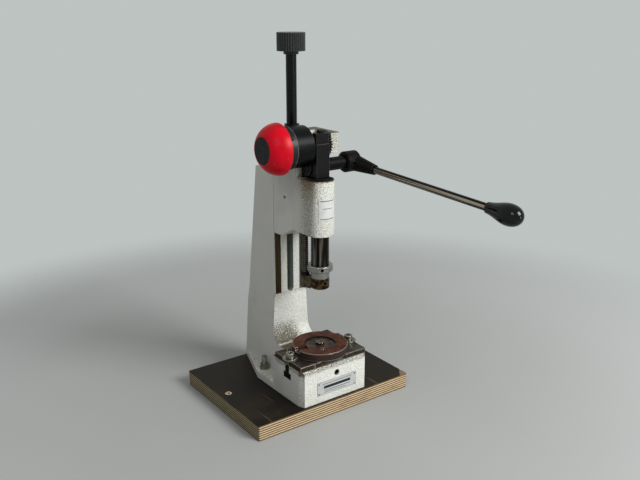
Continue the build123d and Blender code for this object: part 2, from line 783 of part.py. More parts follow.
with BuildPart() as head:
    # Slide plate: flush with the column, then narrowing forwards to the web
    with BuildSketch(level(head_z)):
        with BuildLine():
            Polyline((-column_half, head_back_y), (-column_half, flank_back_y),
                     (-housing_r, flank_front_y), (housing_r, flank_front_y),
                     (column_half, flank_back_y), (column_half, head_back_y), close=True)
        make_face()
    extrude(amount=head_top - head_z)
    # Its underside rises to the web
    with BuildSketch(Plane.YZ.offset(-column_half)):
        with BuildLine():
            Polyline((flank_front_y, head_z), (flank_front_y, housing_z), (head_slope_y, head_z),
                     close=True)
        make_face()
    extrude(amount=2 * column_half, mode=Mode.SUBTRACT)
    # Web and ram housing
    with BuildSketch(level(housing_z)):
        Circle(housing_r)
        with Locations((0, flank_front_y / 2)):
            Rectangle(2 * housing_r, flank_front_y)
    extrude(amount=housing_h)
    # Body above the housing, with an arm on each side of the drum shaft
    with BuildSketch(level(housing_top)):
        with Locations((0, (body_front_y + head_back_y) / 2)):
            Rectangle(2 * housing_r, head_back_y - body_front_y)
    extrude(amount=ear_z - housing_top)
    with BuildSketch(level(ear_z)):
        with Locations(((drum_face_x + ear_x + ear_w) / 2, (ear_back_y + flank_front_y) / 2)):
            Rectangle(ear_x + ear_w - drum_face_x, ear_back_y - flank_front_y)
        with Locations((0, (flank_front_y + head_back_y) / 2)):
            Rectangle(2 * housing_r, head_back_y - flank_front_y)
        with Locations((ear_x + ear_w / 2, (ear_front_y + ear_back_y) / 2)):
            Rectangle(ear_w, ear_back_y - ear_front_y)
        with Locations((drum_face_x + left_arm_t / 2, (ear_front_y + ear_back_y) / 2)):
            Rectangle(left_arm_t, ear_back_y - ear_front_y)
    extrude(amount=ear_h)
    # Left jaw, cast on
    with BuildSketch(level(head_z)):
        with BuildLine():
            Polyline(*jaw_outline(-1, head_back_y - lap), close=True)
        make_face()
    extrude(amount=head_top - head_z)
    # Room for the spindle nut and the lower thrust collar
    with BuildSketch(level(head_z)):
        with Locations((0, head_back_y - nut_room_depth / 2)):
            Rectangle(nut_room_w, nut_room_depth)
    extrude(amount=head_top - head_z, mode=Mode.SUBTRACT)
    with BuildSketch(level(head_top)):
        with Locations((0, spindle_y)):
            Circle(spindle_r + run_fit)
    extrude(amount=ear_top - head_top, mode=Mode.SUBTRACT)
    # Room for the lower thrust collar, open at the back, and a seat for the drum
    with BuildSketch(level(thrust_room_z)):
        with Locations((0, spindle_y + thrust_r)):
            Rectangle(2 * (thrust_r + turn_gap), 4 * thrust_r + 2 * turn_gap)
    extrude(amount=thrust_h + thrust_room, mode=Mode.SUBTRACT)
    with BuildSketch(facing_x(drum_face_x, shaft_y, drum_z)):
        Circle(drum_r + turn_gap)
    extrude(amount=-base_w, mode=Mode.SUBTRACT)
    # Bores for the ram's bushes and the stop rod
    with BuildSketch(level(housing_z)):
        Circle(bush_r)
    extrude(amount=housing_h, mode=Mode.SUBTRACT)
    with BuildSketch(level(housing_z)):
        with Locations((rod_x, rod_y)):
            Circle(rod_r + run_fit)
    extrude(amount=rod_top_z + rod_end_room - housing_z, mode=Mode.SUBTRACT)
    # Bores for the drum shaft's bushes
    with BuildSketch(facing_x(drum_face_x, shaft_y, drum_z)):
        Circle(drum_shaft_r + run_fit + shaft_bush_wall)
    extrude(amount=ear_x + ear_w - drum_face_x, mode=Mode.SUBTRACT)
    # Relief for the drum shaft's gear, open to the right
    with BuildSketch(facing_x(gear_x - side_gap, shaft_y, drum_z)):
        Circle(wheel_tip_r + turn_gap)
    extrude(amount=ear_x + side_gap - gear_x, mode=Mode.SUBTRACT)
    # Screw holes for the loose jaw and the flank screw
    for z in jaw_screw_zs:
        with BuildSketch(facing_front(jaw_screw_x, jaw_back, z)):
            Circle(jaw_screw_r)
        extrude(amount=jaw_back - jaw_screw_y, mode=Mode.SUBTRACT)
        with BuildSketch(facing_front(jaw_screw_x, jaw_screw_y, z)):
            Circle(jaw_head_r + turn_gap)
        extrude(amount=flank_run, mode=Mode.SUBTRACT)
    with BuildSketch(flank_seat):
        Circle(flank_screw_r)
    extrude(amount=-flank_screw_l, mode=Mode.SUBTRACT)
save(head, "head_casting")

with BuildPart() as jaw:
    with BuildSketch(level(head_z)):
        with BuildLine():
            Polyline(*jaw_outline(1, head_back_y), close=True)
        make_face()
    extrude(amount=jaw_h)
    for z in jaw_screw_zs:
        with BuildSketch(facing_front(jaw_screw_x, jaw_back, z)):
            Circle(jaw_screw_r)
        extrude(amount=jaw_back - head_back_y, mode=Mode.SUBTRACT)
save(jaw, "slide_jaw")

jaw_screw_l = jaw_back - jaw_screw_short - jaw_screw_y
jaw_bolts = [socket_screw(facing_front(jaw_screw_x, jaw_screw_y, z), jaw_screw_r,
                          jaw_screw_l, jaw_head_r, jaw_head_h) for z in jaw_screw_zs]
with BuildPart() as jaw_screws:
    add(jaw_bolts)
save(jaw_screws, "jaw_screws")

flank_grub = grub_screw(flank_seat, flank_screw_r, flank_screw_l)
with BuildPart() as flank_screw:
    add(flank_grub)
save(flank_screw, "flank_set_screw")

for name, low in (("ram_bush_lower", housing_z), ("ram_bush_upper", housing_top - bush_l)):
    with BuildPart() as ram_bush:
        with BuildSketch(level(low)):
            Circle(bush_r)
            Circle(ram_r + run_fit, mode=Mode.SUBTRACT)
        extrude(amount=bush_l)
    save(ram_bush, name)

# Blank label that wraps the housing's front
with BuildPart() as sticker:
    with BuildSketch(level(housing_z + sticker_rise)):
        Circle(housing_r + sticker_t)
        Circle(housing_r, mode=Mode.SUBTRACT)
        with BuildLine():
            far = housing_r * 3
            start = math.radians(sticker_from)
            end = math.radians(sticker_from + sticker_turn)
            Polyline((0, 0), (far * math.cos(start), far * math.sin(start)),
                     (far * math.cos(end), far * math.sin(end)), close=True)
        make_face(mode=Mode.INTERSECT)
    extrude(amount=sticker_h)
save(sticker, "blank_label")

# ------------------------------------------------------------ bearing yoke, on the housing
yoke_cut_x = pinion_w / 2 + side_gap + yoke_right_t
yoke_left_x = -pinion_w / 2 - side_gap - yoke_left_t
with BuildPart() as yoke:
    with BuildSketch(level(housing_top)):
        Circle(yoke_r)
        with Locations((yoke_cut_x + yoke_r, 0)):
            Rectangle(2 * yoke_r, 4 * yoke_r, mode=Mode.SUBTRACT)
        with Locations((0, body_front_y + yoke_r - yoke_back_gap)):
            Rectangle(4 * yoke_r, 2 * yoke_r, mode=Mode.SUBTRACT)
    extrude(amount=yoke_t)
    for x, thick in ((yoke_left_x, yoke_left_t), (pinion_w / 2 + side_gap, yoke_right_t)):
        with BuildSketch(facing_x(x, shaft_y, lever_z)):
            Circle(yoke_boss_r)
            with Locations((0, -lever_rise / 2)):
                Rectangle(2 * yoke_boss_r, lever_rise)
        extrude(amount=thick)
    with BuildSketch(level(housing_top)):
        with Locations((0, (bar_back - bar_front) / 2)):
            Rectangle(bar_w + 2 * turn_gap, bar_front + bar_back + 2 * turn_gap)
        with Locations((0, shaft_y)):
            Rectangle(pinion_w + 2 * side_gap, 2 * pinion_tip_r + 2 * turn_gap)
    extrude(amount=3 * lever_rise, mode=Mode.SUBTRACT)
    with BuildSketch(facing_x(yoke_left_x, shaft_y, lever_z)):
        Circle(shaft_bush_r)
    extrude(amount=yoke_cut_x - yoke_left_x, mode=Mode.SUBTRACT)
save(yoke, "bearing_yoke")

for name, x, thick in (("shaft_bush_left", yoke_left_x, yoke_left_t),
                       ("shaft_bush_right", pinion_w / 2 + side_gap, yoke_right_t)):
    with BuildPart() as shaft_bush:
        with BuildSketch(facing_x(x, shaft_y, lever_z)):
            Circle(shaft_bush_r)
            Circle(shaft_r + run_fit, mode=Mode.SUBTRACT)
        extrude(amount=thick)
    save(shaft_bush, name)

# ------------------------------------------------------------ lever, its shaft and pinion
lever_dir = Vector(0, -math.cos(math.radians(lever_droop)), -math.sin(math.radians(lever_droop)))


def along_lever(distance):
    """Plane across the lever, a distance from the shaft's axis."""
    place = Vector(lever_x, shaft_y, lever_z - lever_drop) + lever_dir * distance
    return Plane(origin=place, x_dir=(1, 0, 0), z_dir=lever_dir)


with BuildPart() as lever_shaft:
    with BuildSketch(facing_x(yoke_left_x - shaft_end, shaft_y, lever_z)):
        Circle(shaft_r)
    extrude(amount=hub_x + hub_l - hub_end_wall - yoke_left_x + shaft_end)
save(lever_shaft, "lever_shaft")

pinion_part = spur_gear(facing_x(-pinion_w / 2, shaft_y, lever_z), pinion_teeth, pinion_w, shaft_r, 180)
with BuildPart() as drive_pinion:
    add(pinion_part)
save(drive_pinion, "drive_pinion")

side_gear_part = spur_gear(facing_x(gear_x, shaft_y, lever_z), pinion_teeth, side_gear_w, shaft_r, 90)
with BuildPart() as side_gear:
    add(side_gear_part)
save(side_gear, "shaft_gear")

collar_ring = round_bar(facing_x(yoke_left_x - shaft_end, shaft_y, lever_z), shaft_r + shaft_ring_out,
                        shaft_ring_t, shaft_r)
with BuildPart() as shaft_ring:
    add(collar_ring)
save(shaft_ring, "shaft_retaining_ring")

rod_start = hub_arm_l - hub_socket_l
with BuildPart() as lever_hub:
    with BuildSketch(facing_x(hub_x, shaft_y, lever_z)):
        Circle(hub_r)
    extrude(amount=hub_l)
    chamfer(lever_hub.edges().filter_by(GeomType.CIRCLE), length=hub_edge)
    root_place = (hub_x + hub_root_x, shaft_y, lever_z)
    with BuildSketch(Plane(origin=root_place, x_dir=(1, 0, 0), z_dir=lever_dir)):
        Circle(hub_root_r)
    with BuildSketch(along_lever(hub_arm_l)):
        Circle(hub_arm_r)
    loft()
    with BuildSketch(facing_x(hub_x - lap, shaft_y, lever_z)):
        Circle(shaft_r)
    extrude(amount=hub_l - hub_end_wall + lap, mode=Mode.SUBTRACT)
    with BuildSketch(along_lever(rod_start)):
        Circle(lever_r)
    extrude(amount=hub_arm_l, mode=Mode.SUBTRACT)
    with BuildSketch(facing_front(hub_x + hub_pin_x, shaft_y + 2 * hub_r, lever_z)):
        Circle(hub_pin_r)
    extrude(amount=4 * hub_r, mode=Mode.SUBTRACT)
save(lever_hub, "lever_hub")

hub_pin_part = round_bar(facing_front(hub_x + hub_pin_x, shaft_y - shaft_r, lever_z), hub_pin_r,
                         hub_r - shaft_r - hub_pin_sunk)
with BuildPart() as hub_pin:
    add(hub_pin_part)
save(hub_pin, "hub_set_screw")

rod_part = round_bar(along_lever(rod_start), lever_r, lever_l + lever_tang - rod_start)
with BuildPart() as lever_rod:
    add(rod_part)
save(lever_rod, "lever_rod")

knob_plane = Plane(origin=along_lever(lever_l).origin, x_dir=lever_dir, z_dir=(1, 0, 0))
with BuildPart() as lever_knob:
    with BuildSketch(knob_plane):
        with BuildLine():
            Line((0, 0), (0, knob_neck_r))
            Spline((0, knob_neck_r), (knob_l * flare_at_share, knob_r * flare_share),
                   (knob_l * full_at_share, knob_r),
                   (knob_l * nose_at_share, knob_r * nose_share), (knob_l, 0),
                   tangents=((1, flare_slope_share), (0, -1)))
            Line((knob_l, 0), (0, 0))
        make_face()
    revolve(axis=Axis(knob_plane.origin, lever_dir))
    with BuildSketch(along_lever(lever_l)):
        Circle(lever_r)
    extrude(amount=lever_tang, mode=Mode.SUBTRACT)
save(lever_knob, "lever_knob")

# ------------------------------------------------------------ ram
bar_low = housing_top - ram_round_below_top
bar_top = housing_top + bar_top_rise
band_z = nose_z + nose_l
collar_z = band_z + band_l
rack_pitch = math.pi * gear_module
rack_low = lever_z - pinion_tip_r
rack_teeth = int((bar_top - rack_land - rack_low) / rack_pitch)
gap_half = rack_pitch / 4 + backlash / 4
lean = math.tan(math.radians(pressure_angle))
rack_depth = dedendum_share * gear_module
rack_out = gear_module + rack_over


def rack_gap(z):
    """Outline of the gap between two rack teeth, in Y and Z."""
    wide = gap_half + lean * rack_out
    narrow = gap_half - lean * rack_depth
    return [(rack_line + rack_out, z - wide), (rack_line + rack_out, z + wide),
            (rack_line - rack_depth, z + narrow), (rack_line - rack_depth, z - narrow)]


with BuildPart() as ram:
    with BuildSketch(level(nose_z)):
        Circle(nose_r)
    extrude(amount=nose_l)
    chamfer(ram.edges().filter_by(GeomType.CIRCLE).group_by(Axis.Z)[0], length=nose_edge)
    with BuildSketch(level(band_z)):
        Circle(ram_r)
    extrude(amount=bar_low - band_z)
    with BuildSketch(level(bar_low)):
        with Locations((0, (bar_back - bar_front) / 2)):
            Rectangle(bar_w, bar_front + bar_back)
    extrude(amount=bar_top - bar_step - bar_low)
    with BuildSketch(level(bar_top - bar_step)):
        with Locations((0, (bar_back - bar_front + bar_step_cut) / 2)):
            Rectangle(bar_w - bar_step_cut, bar_front + bar_back - bar_step_cut)
    extrude(amount=bar_step)
    first_gap = -int((lever_z - rack_low) / rack_pitch)
    for tooth in range(first_gap, first_gap + rack_teeth):
        with BuildSketch(Plane.YZ.offset(-bar_half)):
            with BuildLine():
                Polyline(*rack_gap(lever_z + tooth * rack_pitch), close=True)
            make_face()
        extrude(amount=bar_w, mode=Mode.SUBTRACT)
    with BuildSketch(level(nose_z)):
        Circle(tool_bore_r)
    extrude(amount=tool_bore_l, mode=Mode.SUBTRACT)
    with BuildSketch(facing_front(0, 0, nose_z + tool_screw_rise)):
        Circle(tool_screw_r)
    extrude(amount=nose_r + lap, mode=Mode.SUBTRACT)
save(ram, "ram")

tool_screw_l = nose_r - tool_bore_r - tool_screw_sunk - tool_screw_end
tool_screw_face = facing_front(0, tool_screw_sunk - nose_r, nose_z + tool_screw_rise)
tool_grub = grub_screw(tool_screw_face, tool_screw_r, tool_screw_l)
with BuildPart() as tool_screw:
    add(tool_grub)
save(tool_screw, "tool_screw")

with BuildPart() as ram_band:
    with BuildSketch(level(band_z)):
        Circle(nose_r)
        Circle(ram_r, mode=Mode.SUBTRACT)
    extrude(amount=band_l)
save(ram_band, "ram_band")

collar_screw_z = collar_z + collar_l / 2
with BuildPart() as stop_collar:
    with BuildSketch(level(collar_z)):
        Circle(collar_r)
    extrude(amount=collar_l)
    chamfer(stop_collar.edges().filter_by(GeomType.CIRCLE), length=collar_edge)
    with BuildSketch(level(collar_z)):
        Circle(ram_r)
    extrude(amount=collar_l, mode=Mode.SUBTRACT)
    with BuildSketch(facing_out(collar_screw_turn, 0, collar_screw_z)):
        Circle(small_screw_r)
    extrude(amount=collar_r + lap, mode=Mode.SUBTRACT)
save(stop_collar, "stop_collar")

collar_screw_face = facing_out(collar_screw_turn, collar_r - collar_screw_sunk, collar_screw_z)
collar_grub = grub_screw(collar_screw_face, small_screw_r, collar_r - ram_r - collar_screw_sunk)
with BuildPart() as collar_screw:
    add(collar_grub)
save(collar_screw, "collar_screw")

button_part = round_bar(level(bar_top, 0, (bar_back - bar_front) / 2), bar_button_r, bar_button_h,
                        edge=bar_button_edge)
with BuildPart() as top_button:
    add(button_part)
save(top_button, "ram_top_screw")

# ------------------------------------------------------------ stop rod and its arm
arm_z = nose_z - arm_drop
arm_l = math.hypot(rod_x, rod_y)
arm_turn = math.degrees(math.atan2(rod_y, rod_x))
with BuildPart() as rod_arm:
    with BuildSketch(level(arm_z)):
        with Locations((rod_x / 2, rod_y / 2)):
            Rectangle(arm_l, arm_w, rotation=arm_turn)
        with Locations((rod_x, rod_y)):
            Circle(arm_boss_r)
        Circle(nose_r, mode=Mode.SUBTRACT)
        with Locations((rod_x, rod_y)):
            Circle(rod_r, mode=Mode.SUBTRACT)
    extrude(amount=arm_h)
save(rod_arm, "stop_rod_arm")

rod_thread_z = arm_z + arm_h + rod_nut_h
with BuildPart() as stop_rod:
    with BuildSketch(Plane.XZ.offset(-rod_y)):
        with BuildLine():
            turns = int((rod_top_z - rod_thread_z) / rod_pitch)
            crests = [(0, arm_z), (rod_r, arm_z), (rod_r, rod_thread_z)]
            for turn in range(turns):
                crest_z = rod_thread_z + turn * rod_pitch
                crests.append((rod_r, crest_z + rod_pitch * crest_share))
                crests.append((rod_r - rod_thread_depth, crest_z + rod_pitch * root_share))
                crests.append((rod_r, crest_z + rod_pitch))
            crests.append((0, rod_thread_z + turns * rod_pitch))
            Polyline(*[(rod_x + out, up) for out, up in crests], close=True)
        make_face()
    revolve(axis=Axis((rod_x, rod_y, 0), (0, 0, 1)))
save(stop_rod, "stop_rod")

rod_nut_part = round_bar(level(arm_z + arm_h, rod_x, rod_y), rod_nut_r, rod_nut_h, rod_r)
with BuildPart() as rod_nut:
    add(rod_nut_part)
save(rod_nut, "stop_rod_nut")

# ------------------------------------------------------------ spring drum on the left
drum_left_x = drum_face_x - drum_l
ring_left_x = drum_left_x - ring_l
spigot_left_x = ring_left_x - spigot_l
dome_left_x = ring_left_x - dome_l
drum_bore_r = drum_shaft_r + run_fit + shaft_bush_wall
with BuildPart() as drum:
    with BuildSketch(facing_x(drum_left_x, shaft_y, drum_z)):
        Circle(drum_r)
    extrude(amount=drum_l)
    chamfer(drum.edges().filter_by(GeomType.CIRCLE), length=drum_edge)
    with BuildSketch(facing_x(drum_left_x, shaft_y, drum_z)):
        Circle(drum_r - drum_wall)
    extrude(amount=drum_l - drum_end_wall, mode=Mode.SUBTRACT)
    with BuildSketch(facing_x(drum_left_x, shaft_y, drum_z)):
        Circle(drum_bore_r)
    extrude(amount=drum_l, mode=Mode.SUBTRACT)
save(drum, "spring_drum")

with BuildPart() as ring:
    with BuildSketch(facing_x(ring_left_x, shaft_y, drum_z)):
        Circle(ring_r)
        with Locations((0, -ring_r)):
            RectangleRounded(nib_w, nib_h, nib_corner_r)
    extrude(amount=ring_l)
    with BuildSketch(facing_x(spigot_left_x, shaft_y, drum_z)):
        Circle(spigot_r)
    extrude(amount=spigot_l)
    with BuildSketch(facing_x(spigot_left_x, shaft_y, drum_z)):
        Circle(ring_bore_r)
    extrude(amount=spigot_l + ring_l - ring_floor, mode=Mode.SUBTRACT)
    with BuildSketch(facing_x(drum_left_x - ring_floor - lap, shaft_y, drum_z)):
        Circle(drum_shaft_r + run_fit)
    extrude(amount=ring_floor + lap, mode=Mode.SUBTRACT)
save(ring, "drum_ring")

ring_screw_parts = []
for turn in (ring_screw_turn, ring_screw_turn + ring_screw_step):
    angle = math.radians(turn)
    out = Vector(0, math.cos(angle), math.sin(angle))
    foot = Vector(ring_left_x + ring_l * ring_screw_share, shaft_y, drum_z) + out * ring_r
    ring_screw_parts.append(round_bar(Plane(origin=foot, x_dir=(1, 0, 0), z_dir=out), ring_screw_r,
                                      ring_screw_h, edge=ring_screw_edge))
with BuildPart() as ring_screws:
    add(ring_screw_parts)
save(ring_screws, "ring_screws")

dome_cavity_r = spigot_r + run_fit * 2
dome_right_x = ring_left_x - turn_gap
with BuildPart() as dome:
    with BuildSketch(Plane(origin=(dome_right_x, shaft_y, drum_z), x_dir=(-1, 0, 0), z_dir=(0, 1, 0))):
        with BuildLine():
            depth = dome_l - turn_gap
            Line((0, 0), (0, dome_r))
            ThreePointArc((0, dome_r), (depth * belly_at_share, dome_r * belly_share), (depth, dome_face_r))
            Line((depth, dome_face_r), (depth, 0))
            Line((depth, 0), (0, 0))
        make_face()
    revolve(axis=Axis((0, shaft_y, drum_z), (1, 0, 0)))
    with BuildSketch(facing_x(spigot_left_x - turn_gap, shaft_y, drum_z)):
        Circle(dome_cavity_r)
    extrude(amount=spigot_l + turn_gap, mode=Mode.SUBTRACT)
    with BuildSketch(facing_x(dome_left_x, shaft_y, drum_z)):
        Circle(cap_r)
    extrude(amount=cap_t, mode=Mode.SUBTRACT)
save(dome, "tension_dome")

with BuildPart() as dome_cap:
    with BuildSketch(facing_x(dome_left_x - cap_proud, shaft_y, drum_z)):
        Circle(cap_r - run_fit)
    extrude(amount=cap_t + cap_proud)
    chamfer(dome_cap.edges().filter_by(GeomType.CIRCLE).group_by(Axis.X)[0], length=cap_edge)
    with BuildSketch(facing_x(dome_left_x - cap_proud, shaft_y, drum_z)):
        Circle(cap_hole_r)
    extrude(amount=cap_t / 2 + cap_proud, mode=Mode.SUBTRACT)
save(dome_cap, "dome_cap")

shaft_left_x = drum_left_x - drum_shaft_out
with BuildPart() as drum_shaft:
    with BuildSketch(facing_x(shaft_left_x, shaft_y, drum_z)):
        Circle(drum_shaft_r)
    extrude(amount=ear_x + ear_w - drum_shaft_sunk - shaft_left_x)
    with BuildSketch(facing_x(drum_left_x + arbor_inset, shaft_y, drum_z)):
        Circle(arbor_r)
    extrude(amount=drum_l - drum_end_wall - arbor_short)
save(drum_shaft, "drum_shaft")

wheel_part = spur_gear(facing_x(gear_x, shaft_y, drum_z), wheel_teeth, side_gear_w, drum_shaft_r,
                       -90.0 + 180.0 / wheel_teeth)
with BuildPart() as drum_gear:
    add(wheel_part)
save(drum_gear, "drum_gear")

for name, x, thick in (("drum_bush_left", drum_face_x - drum_end_wall, left_arm_t + drum_end_wall),
                       ("drum_bush_right", ear_x, ear_w)):
    with BuildPart() as drum_bush:
        with BuildSketch(facing_x(x, shaft_y, drum_z)):
            Circle(drum_bore_r)
            Circle(drum_shaft_r + run_fit, mode=Mode.SUBTRACT)
        extrude(amount=thick)
    save(drum_bush, name)

spring_in = arbor_r + turn_gap
spring_out = drum_r - drum_wall - turn_gap
steps_per_turn = 24
spiral_steps = spring_turns * steps_per_turn
inner_side = []
outer_side = []
for step in range(spiral_steps + 1):
    angle = 2 * math.pi * step / steps_per_turn
    radius = spring_in + (spring_out - spring_t - spring_in) * step / spiral_steps
    inner_side.append((radius * math.cos(angle), radius * math.sin(angle)))
    outer_side.append(((radius + spring_t) * math.cos(angle), (radius + spring_t) * math.sin(angle)))
with BuildPart() as clock_spring:
    with BuildSketch(facing_x(drum_left_x + spring_inset, shaft_y, drum_z)):
        with BuildLine():
            Polyline(*inner_side, *reversed(outer_side), close=True)
        make_face()
    extrude(amount=spring_w)
save(clock_spring, "clock_spring")

# ------------------------------------------------------------ elevating spindle
spindle_top = housing_top + spindle_top_rise
knob_z = spindle_top - spindle_knob_h
thread_end_z = housing_top - thread_end_below
with BuildPart() as spindle:
    with BuildSketch(level(thread_end_z, 0, spindle_y)):
        Circle(spindle_r)
    extrude(amount=knob_z + spindle_knob_h * knob_bore_share - thread_end_z)
save(spindle, "elevating_spindle")

with BuildPart() as spindle_knob:
    with BuildSketch(level(knob_z, 0, spindle_y)):
        Circle(spindle_knob_r)
        with PolarLocations(spindle_knob_r + knob_flute_r * flute_out_share, knob_flutes):
            Circle(knob_flute_r, mode=Mode.SUBTRACT)
    extrude(amount=spindle_knob_h)
    with BuildSketch(level(knob_z - neck_h, 0, spindle_y)):
        Circle(neck_r)
    extrude(amount=neck_h)
    with BuildSketch(level(knob_z - neck_h, 0, spindle_y)):
        Circle(spindle_r)
    extrude(amount=neck_h + spindle_knob_h * knob_bore_share, mode=Mode.SUBTRACT)
save(spindle_knob, "spindle_knob")

for name, low in (("thrust_collar_lower", ear_top - thrust_wall - thrust_h - run_fit),
                  ("thrust_collar_upper", ear_top + run_fit)):
    collar_part = round_bar(level(low, 0, spindle_y), thrust_r, thrust_h, spindle_r)
    with BuildPart() as thrust_collar:
        add(collar_part)
    save(thrust_collar, name)

nut_z = housing_top - nut_below_top
nut_front = spindle_room_front + turn_gap
with BuildPart() as spindle_nut:
    with BuildSketch(level(nut_z)):
        with Locations((0, (nut_front + throat) / 2)):
            Rectangle(nut_room_w - 2 * turn_gap, throat - nut_front)
        with Locations((0, throat + (rail_slot_depth - tongue_end_gap) / 2)):
            Rectangle(rail_slot_w - 2 * tongue_side_gap, rail_slot_depth - tongue_end_gap)
    extrude(amount=spindle_nut_h)
    with BuildSketch(level(nut_z)):
        with Locations((0, spindle_y)):
            Circle(spindle_r + run_fit)
    extrude(amount=spindle_nut_h, mode=Mode.SUBTRACT)
save(spindle_nut, "spindle_nut")
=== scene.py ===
"""Looks of a bench hand lever press on its plywood board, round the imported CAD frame. Metres, +Z up."""
import math

import bpy
import numpy as np
from mathutils import Matrix, Vector


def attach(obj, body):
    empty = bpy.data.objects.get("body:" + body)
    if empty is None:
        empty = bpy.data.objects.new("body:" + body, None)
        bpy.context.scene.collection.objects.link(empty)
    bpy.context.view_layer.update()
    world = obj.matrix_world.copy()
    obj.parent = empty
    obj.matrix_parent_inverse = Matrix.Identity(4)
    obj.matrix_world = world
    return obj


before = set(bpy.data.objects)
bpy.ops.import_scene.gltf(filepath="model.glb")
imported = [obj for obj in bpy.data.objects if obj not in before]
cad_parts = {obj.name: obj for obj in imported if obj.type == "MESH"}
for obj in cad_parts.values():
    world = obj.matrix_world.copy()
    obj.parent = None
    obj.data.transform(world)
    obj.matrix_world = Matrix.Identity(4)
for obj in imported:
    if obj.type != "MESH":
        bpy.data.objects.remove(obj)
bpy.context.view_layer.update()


# ------------------------------------------------------------ camera
# A 43.5 mm lens on a 36 mm frame, about 0.9 m from the press. It stands to the left of
# the operator, a little higher than the spindle's knob, and looks down on the board.
camera_place = (-0.4937, -0.6770, 0.4636)
camera_turn = (Matrix.Rotation(math.radians(-36.103), 4, "Z")
               @ Matrix.Rotation(math.radians(72.774), 4, "X"))
camera_lens = bpy.data.cameras.new("camera")
camera_lens.lens = 43.51
camera_lens.sensor_width = 36.0
camera_lens.clip_start = 0.01
camera = bpy.data.objects.new("camera", camera_lens)
camera.matrix_world = Matrix.Translation(camera_place) @ camera_turn
bpy.context.scene.collection.objects.link(camera)
bpy.context.scene.camera = camera


# ------------------------------------------------------------ room and light
# A pale grey room with a grey floor. A broad lamp stands high at the operator's right.
# A weak one at the left and a low upright strip give the black pieces their highlights.
class Grain:
    """A value or colour that varies over a surface. Arithmetic on it adds the Math nodes."""

    def __init__(self, finish, socket):
        self.finish = finish
        self.socket = socket

    def maths(self, operation, first, second):
        """The result of one operation of the Math node."""
        return self.finish.node("ShaderNodeMath", {"operation": operation}, {0: first, 1: second})

    def __add__(self, other):
        return self.maths("ADD", self, other)

    def __sub__(self, other):
        return self.maths("SUBTRACT", self, other)

    def __rsub__(self, other):
        return self.maths("SUBTRACT", other, self)

    def __mul__(self, other):
        return self.maths("MULTIPLY", self, other)

    def __abs__(self):
        return self.maths("ABSOLUTE", self, 0.0)

    __radd__ = __add__
    __rmul__ = __mul__


def shade(red, green, blue):
    """A colour from its 0 to 255 screen values: each is divided by 255 and raised to 2.2."""
    return (*((np.array([red, green, blue]) / 255.0) ** 2.2).tolist(), 1.0)


class Finish:
    """The nodes of one finish, on a material or on the world."""

    def __init__(self, owner):
        owner.use_nodes = True
        self.owner = owner
        self.tree = owner.node_tree
        self.tree.nodes.clear()

    def node(self, kind, settings, inputs, output=0):
        """Add a node: its settings are set first, then its sockets' values or links."""
        made = self.tree.nodes.new(kind)
        for name, value in settings.items():
            setattr(made, name, value)
        for name, value in inputs.items():
            if isinstance(value, Grain):
                self.tree.links.new(value.socket, made.inputs[name])
            else:
                made.inputs[name].default_value = value
        return Grain(self, made.outputs[output]) if made.outputs else None

    def mix(self, amount, first, second):
        """Colour that goes from the first to the second as the amount goes from 0 to 1."""
        return self.node("ShaderNodeMix", {"data_type": "RGBA"}, {0: amount, 6: first, 7: second}, 2)

    def rise(self, value, low, high):
        """0 below low and 1 above high, with a smooth rise between them."""
        return self.node("ShaderNodeMapRange", {"interpolation_type": "SMOOTHSTEP"},
                         {"Value": value, "From Min": low, "From Max": high})

    def fall(self, value, low, high):
        """1 below low and 0 above high, with a smooth fall between them."""
        return 1.0 - self.rise(value, low, high)

    def band(self, value, rise_from, rise_to, fall_from, fall_to):
        """Up from 0 to 1 between the first two values, and back to 0 between the last two."""
        return self.rise(value, rise_from, rise_to) * self.fall(value, fall_from, fall_to)

    def away(self, first, second):
        """Distance from a line, by two offsets square to it: the root of their squares' sum."""
        return self.node("ShaderNodeMath", {"operation": "SQRT"}, {0: first * first + second * second})

    def parts(self, vector, axes="XYZ"):
        """The named parts of a vector."""
        return [self.node("ShaderNodeSeparateXYZ", {}, {"Vector": vector}, axis) for axis in axes]

    def place(self):
        """Where a point is on the press, in metres."""
        return self.node("ShaderNodeTexCoord", {}, {}, "Object")

    def facing(self):
        """Which way the surface looks."""
        return self.node("ShaderNodeNewGeometry", {}, {}, "Normal")

    def cloud(self, per_metre, detail=3.0, stretch=(1.0, 1.0, 1.0), shift=0.0, spot=None):
        """Soft noise from 0 to 1, so many lumps in a metre, stretched along the axes."""
        spot = self.node("ShaderNodeMapping", {}, {"Vector": spot or self.place(), "Scale": stretch,
                                                   "Location": (shift, shift, shift)})
        return self.node("ShaderNodeTexNoise", {}, {"Vector": spot, "Scale": per_metre, "Detail": detail})

    def rounded(self, radius):
        """The surface's direction with its sharp edges rounded off."""
        return self.node("ShaderNodeBevel", {"samples": 6}, {"Radius": radius})

    def edges(self, radius):
        """1 on a sharp edge, 0 away from it: how far the rounded direction leans from the true one."""
        agree = self.node("ShaderNodeVectorMath", {"operation": "DOT_PRODUCT"},
                          {0: self.rounded(radius), 1: self.facing()}, "Value")
        return self.rise(1.0 - agree, 0.004, 0.14)

    def bump(self, height, depth, radius):
        """Direction of a surface with its edges rounded and its relief depth metres deep."""
        return self.node("ShaderNodeBump", {}, {"Height": height, "Distance": depth, "Strength": 1.0,
                                                "Normal": self.rounded(radius)})

    def cover(self, sockets, *nodes):
        """Join the shader to the output and put the finish on CAD nodes."""
        skin = self.node("ShaderNodeBsdfPrincipled", {}, sockets)
        self.node("ShaderNodeOutputMaterial", {}, {"Surface": skin})
        for name in nodes:
            dress(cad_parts[name], self.owner)


def dress(piece, material):
    """Give a piece one material."""
    piece.data.materials.clear()
    piece.data.materials.append(material)


def new_finish(name):
    """An empty finish on a new material."""
    return Finish(bpy.data.materials.new(name))


